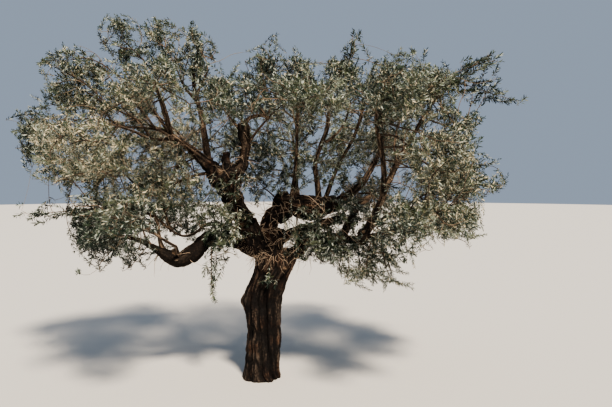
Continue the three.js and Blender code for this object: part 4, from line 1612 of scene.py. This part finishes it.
# The pieces that the leaves are joined into, and the masses that each of them replaces.
LEAF_PIECES = {
    "leaves_left_crown": "left_tip left_shoulder left_crest top_left top_peak top_brow left_brow",
    "leaves_left_heart": "left_heart left_side left_inside low_left_outer",
    "leaves_left_front": "left_fore left_top_fore low_left_fore",
    "leaves_top": """top_middle top_dip top_right_inner spire top_right top_right_outer
        right_spray_high right_spray_far""",
    "leaves_right": "right_bulge right_side right_low right_skirt under_arm",
    "leaves_right_front": "right_fore right_low_fore top_dip_fore top_right_fore",
    "leaves_back": "back_left back_middle back_right back_low_left back_low_right",
}


def add_leaves(points, shoot, tones, mass_of_shoot, mass_names):
    """The leaves of each part of the crown, in place of its masses."""
    materials = [plain_material(*tone) for tone in LEAF_TONES]
    for piece_name, masses in LEAF_PIECES.items():
        replaced = ["mass_" + name for name in masses.split()]
        wanted = [mass_names.index(name) for name in replaced]
        chosen = np.flatnonzero(np.isin(mass_of_shoot[shoot], wanted))
        faces = LEAF_FACES + (np.arange(len(chosen)) * len(LEAF_ALONG))[:, None, None]
        mesh = mesh_from(piece_name, points[chosen].reshape(-1, 3), faces.reshape(-1, 3),
                         np.repeat(tones[chosen], len(LEAF_FACES)))
        show_piece(piece_name, mesh, materials, replaced)


# Thin dead twigs on old wood. Each row names a limb, the stretch of it that they stand on as
# shares of its length, the middle and half of the range of directions that they face, in
# degrees round from the front to the right, their number and how long they are.
TWIGGY_STRETCHES = [
    ("trunk", (0.97, 1.00), (-22, 40), 60, (0.10, 0.26)),
    ("trunk", (0.90, 1.00), (30, 90), 24, (0.08, 0.22)),
    ("fork_limb", (0.10, 0.95), (0, 110), 90, (0.10, 0.30)),
    ("bough_left_root", (0.16, 0.40), (15, 80), 110, (0.10, 0.30)),
    ("bough_left_root", (0.60, 1.00), (0, 120), 70, (0.10, 0.32)),
    ("bough_arch_rise", (0.30, 1.00), (-20, 110), 60, (0.12, 0.40)),
    ("bough_arch", (0.10, 1.00), (0, 180), 60, (0.12, 0.42)),
    ("bough_right_arm", (0.20, 0.90), (0, 120), 80, (0.12, 0.38)),
    ("bough_arch_right", (0.10, 0.60), (0, 120), 24, (0.15, 0.35)),
    ("bough_left_pruned", (0.20, 1.00), (0, 180), 26, (0.08, 0.25)),
    ("bough_left_fan_arm", (0.30, 1.00), (0, 180), 40, (0.20, 0.60)),
    ("bough_low_left_reach", (0.00, 1.00), (0, 180), 26, (0.15, 0.40)),
    ("bough_right_riser", (0.00, 0.70), (0, 180), 30, (0.15, 0.45)),
]

# Long straight twigs that cross before the right side of the fork, each from foot to tip.
CROSSING_TWIGS = [
    [(0.55, 0.02, 2.42), (0.66, -0.22, 2.38), (0.96, -0.30, 2.07), (1.31, -0.34, 1.75)],
    [(0.80, 0.02, 2.36), (0.80, -0.20, 2.22), (0.98, -0.28, 1.98), (1.08, -0.30, 1.72)],
    [(0.98, 0.06, 2.30), (0.90, -0.14, 2.18), (0.72, -0.24, 1.98), (0.60, -0.28, 1.80)],
]
CROSSING_STEP = 0.1
CROSSING_RADII = (0.0055, 0.002)
CROSSING_SIDES = 4
DEAD_TWIG_STEPS = 7
DEAD_TWIG_SIDES = 3
DEAD_TWIG_RADII = (0.0024, 0.0052)
DEAD_TIP_RADIUS = 0.0011
DEAD_SWERVE = 0.27
DEAD_SAG = np.array((0, 0, -0.10))
DEAD_LIFT = (0.1, 0.5)
DEAD_LEAN = 0.5
DEAD_SPREAD = 0.4
DEAD_DEPTH_SHARE = 0.9


def dead_twig(start, heading, length, thick, generator):
    """A thin crooked twig that sags a little."""
    line = [start]
    for _ in range(DEAD_TWIG_STEPS):
        heading = unit(heading + generator.normal(0, DEAD_SWERVE, 3) + DEAD_SAG)
        line.append(line[-1] + heading * length / DEAD_TWIG_STEPS)
    radii = np.linspace(thick, DEAD_TIP_RADIUS, len(line))
    return open_tube(np.array(line), radii, DEAD_TWIG_SIDES)


def dead_twig_shapes(limbs, generator):
    """The dead twigs on the old wood and the long ones that cross before the fork."""
    shapes = []
    for name, stretch, facings, count, lengths in TWIGGY_STRETCHES:
        limb = limbs[name]
        for _ in range(count):
            middle, radius, tangent = limb.at(generator.uniform(*stretch) * limb.along[-1])
            facing = math.radians(facings[0] + generator.uniform(-1, 1) * facings[1])
            out = np.array([math.sin(facing), -math.cos(facing), generator.normal(*DEAD_LIFT)])
            out = unit(out - tangent * (out @ tangent))
            lean = DEAD_LEAN * tangent * generator.normal()
            heading = unit(out + lean + generator.normal(0, DEAD_SPREAD, 3))
            thick = generator.uniform(*DEAD_TWIG_RADII)
            length = generator.uniform(*lengths)
            foot = middle + out * radius * DEAD_DEPTH_SHARE
            shapes.append(dead_twig(foot, heading, length, thick, generator))
    for way in CROSSING_TWIGS:
        line = smooth_way(way, CROSSING_STEP)
        shapes.append(open_tube(line, np.linspace(*CROSSING_RADII, len(line)), CROSSING_SIDES))
    return shapes


# Materials. The colours of the bark run from the bottom of its cracks to the top of its ridges; their
# near-black in the cracks is partly the bark's own colour and partly painted shade.

OLD_RIDGES = [(0.0, (0.003, 0.002, 0.002)), (0.35, (0.008, 0.006, 0.005)),
              (0.65, (0.026, 0.018, 0.014)), (1.0, (0.070, 0.053, 0.041))]
RUSTY_RIDGES = [(0.0, (0.004, 0.002, 0.002)), (0.35, (0.012, 0.006, 0.004)),
                (0.65, (0.036, 0.018, 0.011)), (1.0, (0.088, 0.049, 0.030))]
THIN_LIMB_TONES = [(0.0, (0.010, 0.007, 0.005)), (0.45, (0.058, 0.041, 0.030)),
                   (1.0, (0.230, 0.168, 0.120))]
BARE_WOOD = [(0.3, (0.075, 0.048, 0.030)), (0.7, (0.170, 0.118, 0.080))]
RUST_PATCHES = [(0.47, (0, 0, 0)), (0.66, (1, 1, 1))]

# Noise in the bark: scale and detail.
STREAKS = (34.0, 6.0)
SPECKLE = (50.0, 6.0)
BROAD_PATCHES = (4.5, 4.0)
FINE_GAIN = 1.1
FINE_OFFSET = -0.6
FINE_ON_RIDGES = 1.5
RIDGE_OFFSET = 0.78
YOUNG_AND_OLD_RADIUS = (0.018, 0.075)
BARK_ROUGHNESS = (0.72, 0.96)
BUMP_STRENGTH = 0.8
BUMP_HEIGHT = 0.012
BARK_SPECULAR = 0.2
PLAIN_SPECULAR = 0.4

WOOD_TONES = [
    ("branch_brown", (0.055, 0.038, 0.026), 0.85),
    ("branch_tan", (0.170, 0.120, 0.082), 0.8),
    ("twig_grey", (0.230, 0.180, 0.125), 0.75),
]
DEAD_TWIG_TONE = ("dead_twig", (0.400, 0.305, 0.225), 0.8)
FLOOR_TONE = ("pale_floor", (0.62, 0.60, 0.57), 0.9)


def new_material(name):
    """A material with its shader."""
    material = bpy.data.materials.new(name)
    material.use_nodes = True
    return material, material.node_tree.nodes["Principled BSDF"]


def plain_material(name, colour, roughness):
    """One plain colour, dealt out to whole sprays and twigs."""
    material, shader = new_material(name)
    shader.inputs["Base Color"].default_value = (*colour, 1)
    shader.inputs["Roughness"].default_value = roughness
    shader.inputs["Specular IOR Level"].default_value = PLAIN_SPECULAR
    return material


def add_node(tree, kind, inputs, **settings):
    """A new node. Its inputs, by name or number, are linked to a socket or set to a value."""
    node = tree.nodes.new(kind)
    for name, value in settings.items():
        setattr(node, name, value)
    for key, value in inputs.items():
        if isinstance(value, bpy.types.NodeSocket):
            tree.links.new(value, node.inputs[key])
        else:
            node.inputs[key].default_value = value
    return node


def noise_node(tree, coordinates, scale, detail):
    """Noise from 0 to 1."""
    inputs = {"Vector": coordinates, "Scale": scale, "Detail": detail}
    return add_node(tree, "ShaderNodeTexNoise", inputs).outputs["Fac"]


def math_node(tree, operation, *values):
    """The result of one operation on sockets or numbers."""
    return add_node(tree, "ShaderNodeMath", dict(enumerate(values)), operation=operation).outputs[0]


def range_node(tree, value, **limits):
    """A value moved from one range to another, 0 to 1 where no limits are given."""
    inputs = {name.replace("_", " "): limit for name, limit in limits.items()}
    return add_node(tree, "ShaderNodeMapRange", {"Value": value, **inputs}).outputs["Result"]


def ramp_node(tree, value, stops):
    """The colour that a value has between the given places and colours."""
    ramp = add_node(tree, "ShaderNodeValToRGB", {"Fac": value})
    while len(ramp.color_ramp.elements) < len(stops):
        ramp.color_ramp.elements.new(0.5)
    for element, (place, colour) in zip(ramp.color_ramp.elements, stops):
        element.position = place
        element.color = (*colour, 1)
    return ramp.outputs["Color"]


def mixed_colour(tree, share, first, second):
    """The first colour where the share is 0 and the second where it is 1."""
    mix = add_node(tree, "ShaderNodeMix", {"Factor": share}, data_type="RGBA")
    colour_inputs = [socket for socket in mix.inputs if socket.type == "RGBA"]
    tree.links.new(first, colour_inputs[0])
    tree.links.new(second, colour_inputs[1])
    return next(socket for socket in mix.outputs if socket.type == "RGBA")


def bark_material():
    """Bark: dark in its cracks, both its own colour and painted shade, darker with painted shade in the
    clefts, the hollow stub and limbs in the crown's shade, brown with rust and grey on old ridges, tan on
    thin limbs, and pale where the wood is bare."""
    material, shader = new_material("olive_bark")
    tree = material.node_tree
    place = add_node(tree, "ShaderNodeTexCoord", {}).outputs["Object"]
    crest, girth, bare, grain = [add_node(tree, "ShaderNodeAttribute", {}, attribute_name=name).outputs
                                 for name in ("crest", "girth", "bare", "grain")]
    streaks = noise_node(tree, grain["Vector"], *STREAKS)
    both = math_node(tree, "ADD", streaks, noise_node(tree, place, *SPECKLE))
    fine = math_node(tree, "MULTIPLY_ADD", both, FINE_GAIN, FINE_OFFSET)
    height = math_node(tree, "MULTIPLY_ADD", fine, FINE_ON_RIDGES, crest["Fac"])
    height = math_node(tree, "SUBTRACT", height, RIDGE_OFFSET)
    patches = ramp_node(tree, noise_node(tree, place, *BROAD_PATCHES), RUST_PATCHES)
    ridges = [ramp_node(tree, height, stops) for stops in (OLD_RIDGES, RUSTY_RIDGES)]
    old = mixed_colour(tree, patches, *ridges)
    young = ramp_node(tree, height, THIN_LIMB_TONES)
    youngest, oldest = YOUNG_AND_OLD_RADIUS
    age = range_node(tree, girth["Fac"], From_Min=youngest, From_Max=oldest)
    colour = mixed_colour(tree, age, young, old)
    colour = mixed_colour(tree, bare["Fac"], colour, ramp_node(tree, fine, BARE_WOOD))
    smoothest, roughest = BARK_ROUGHNESS
    roughness = range_node(tree, fine, To_Min=smoothest, To_Max=roughest)
    bump_inputs = {"Height": fine, "Strength": BUMP_STRENGTH, "Distance": BUMP_HEIGHT}
    bump = add_node(tree, "ShaderNodeBump", bump_inputs)
    tree.links.new(colour, shader.inputs["Base Color"])
    tree.links.new(roughness, shader.inputs["Roughness"])
    tree.links.new(bump.outputs["Normal"], shader.inputs["Normal"])
    shader.inputs["Specular IOR Level"].default_value = BARK_SPECULAR
    return material


# Stage.

KEY_SOFTNESS = 9.0
KEY_STRENGTH = 6.7
KEY_COLOUR = (1.0, 0.87, 0.70)
KEY_DIRECTION = (-0.26, 0.60, -0.75)
FILL_COLOUR = (0.60, 0.72, 0.90)
FILL_STRENGTH = 0.46
FLOOR_RADIUS = 60.0
FLOOR_SIDES = 96
FLOOR_DROP = 0.002


def make_camera():
    """The camera that sees the tree from the front."""
    data = bpy.data.cameras.new("camera")
    data.lens = CAMERA_LENS
    camera = placed("camera", data)
    camera.location = CAMERA_PLACE
    camera.rotation_euler = (CAMERA_TILT, 0, 0)
    bpy.context.scene.camera = camera


def make_floor():
    """A wide round floor just under the ground level."""
    rim = around(*LEVEL_AXES, FLOOR_SIDES) * FLOOR_RADIUS
    points = np.concatenate([[(0, 0, 0)], rim]) - (0, 0, FLOOR_DROP)
    mesh = mesh_from("floor", points, fan(0, 1, FLOOR_SIDES))
    mesh.materials.append(plain_material(*FLOOR_TONE))
    placed("floor", mesh)


def make_key_light():
    """A soft warm light from the front right, far enough away to fall evenly on the whole tree."""
    data = bpy.data.lights.new("key", "SUN")
    data.angle = math.radians(KEY_SOFTNESS)
    data.energy = KEY_STRENGTH
    data.color = KEY_COLOUR
    placed("key", data).rotation_euler = Vector(KEY_DIRECTION).to_track_quat("-Z", "Y").to_euler()


def make_world():
    """Pale bluish light from all round."""
    world = bpy.data.worlds.new("studio")
    world.use_nodes = True
    background = world.node_tree.nodes["Background"]
    background.inputs["Color"].default_value = (*FILL_COLOUR, 1)
    background.inputs["Strength"].default_value = FILL_STRENGTH
    bpy.context.scene.world = world


# The whole tree.

def read_limbs(nodes):
    """The trunk with its rings, and the limbs in the frame's solids by name."""
    rings, middles, radii = trunk_surface(nodes["trunk"])
    names = sorted(name for name in nodes if name.startswith("bough_"))
    limbs = {name: limb_from(nodes[name], middles[-1]) for name in names}
    return Limb("trunk", middles, radii), rings, limbs


def add_bark(nodes, trunk, trunk_rings, limbs, fork_limb, thin):
    """The bark of the heavy wood and of the thin limbs, in place of their solids."""
    slot_of = {part["node"]: part["material_slot"] for part in frame["record"]["subparts"]}
    old_names, young_names = [[name for name in limbs if slot_of[name] == slot]
                              for slot in ("old_bark", "young_bark")]
    bark = bark_material()
    solid = solid_of([nodes[name] for name in ["trunk"] + list(limbs)])
    old = [limbs[name] for name in old_names] + [fork_limb]
    mesh = old_bark_mesh(trunk, trunk_rings, old, solid)
    show_piece("bark_of_trunk_and_boughs", mesh, [bark], ["trunk"] + old_names)
    mesh = young_bark_mesh([limbs[name] for name in young_names] + thin)
    show_piece("bark_of_thin_limbs", mesh, [bark], young_names)


def add_branches(places, radii, chains, stems, tones):
    """The branches and the stems of the single twigs, from brown to tan as they get thinner."""
    shapes, tone_numbers = branch_shapes(places, radii, chains)
    for stem in stems:
        shapes.append(open_tube(stem.points, stem.radii, STRAY_SIDES))
        tone_numbers.append(np.ones(len(shapes[-1][1])))
    mesh = mesh_from("branches", *joined(shapes), np.concatenate(tone_numbers))
    show_piece("branches", mesh, tones, [])


def build_tree():
    """Bark, branches, shoots, dead twigs and leaves, each from the one before."""
    nodes = frame["nodes"]
    mass_names = sorted(name for name in nodes if name.startswith("mass_"))
    trunk, trunk_rings, limbs = read_limbs(nodes)
    fork_limb = limb_through(*FORK_LIMB)
    thin = [limb_through(*row) for row in THIN_LIMBS]
    add_bark(nodes, trunk, trunk_rings, limbs, fork_limb, thin)

    every_limb = [trunk] + list(limbs.values()) + [fork_limb] + thin
    shown = [limb for limb in every_limb if limb.name in SHOWN_LIMBS]
    tips, middles, masses, scales, swerves = all_tips(nodes, mass_names, shown)
    bend, feet = planned_shoots(tips, middles, swerves, dice(SHOOT_DICE))
    stems = stray_stems(every_limb)
    places, parents, radii, heaviest, ends = grown_branches(every_limb + stems, feet)
    wood_tones = [plain_material(*tone) for tone in WOOD_TONES]
    add_branches(places, radii, chains_of(parents, heaviest), stems, wood_tones)

    start, heading, bend, length, fed = fed_shoots(places, tips, bend, ends)
    mesh = mesh_from("twigs", *shoot_stems(start, heading, bend, length))
    show_piece("twigs", mesh, wood_tones[-1:], [])
    old_wood = {**limbs, "trunk": trunk, "fork_limb": fork_limb}
    mesh = mesh_from("dead_twigs", *joined(dead_twig_shapes(old_wood, dice(DEAD_TWIG_DICE))))
    show_piece("dead_twigs", mesh, [plain_material(*DEAD_TWIG_TONE)], [])

    leaves = shoot_leaves(start, heading, bend, length, scales[fed], dice(LEAF_DICE))
    points, shoot, upward = leaves
    tones = leaf_tones(shoot, upward, start, dice(TONE_DICE))
    add_leaves(points, shoot, tones, masses[fed], mass_names)


make_camera()
build_tree()
make_floor()
make_key_light()
make_world()
bpy.context.scene.view_settings.view_transform = "AgX"
bpy.context.scene.view_settings.look = "AgX - Medium High Contrast"
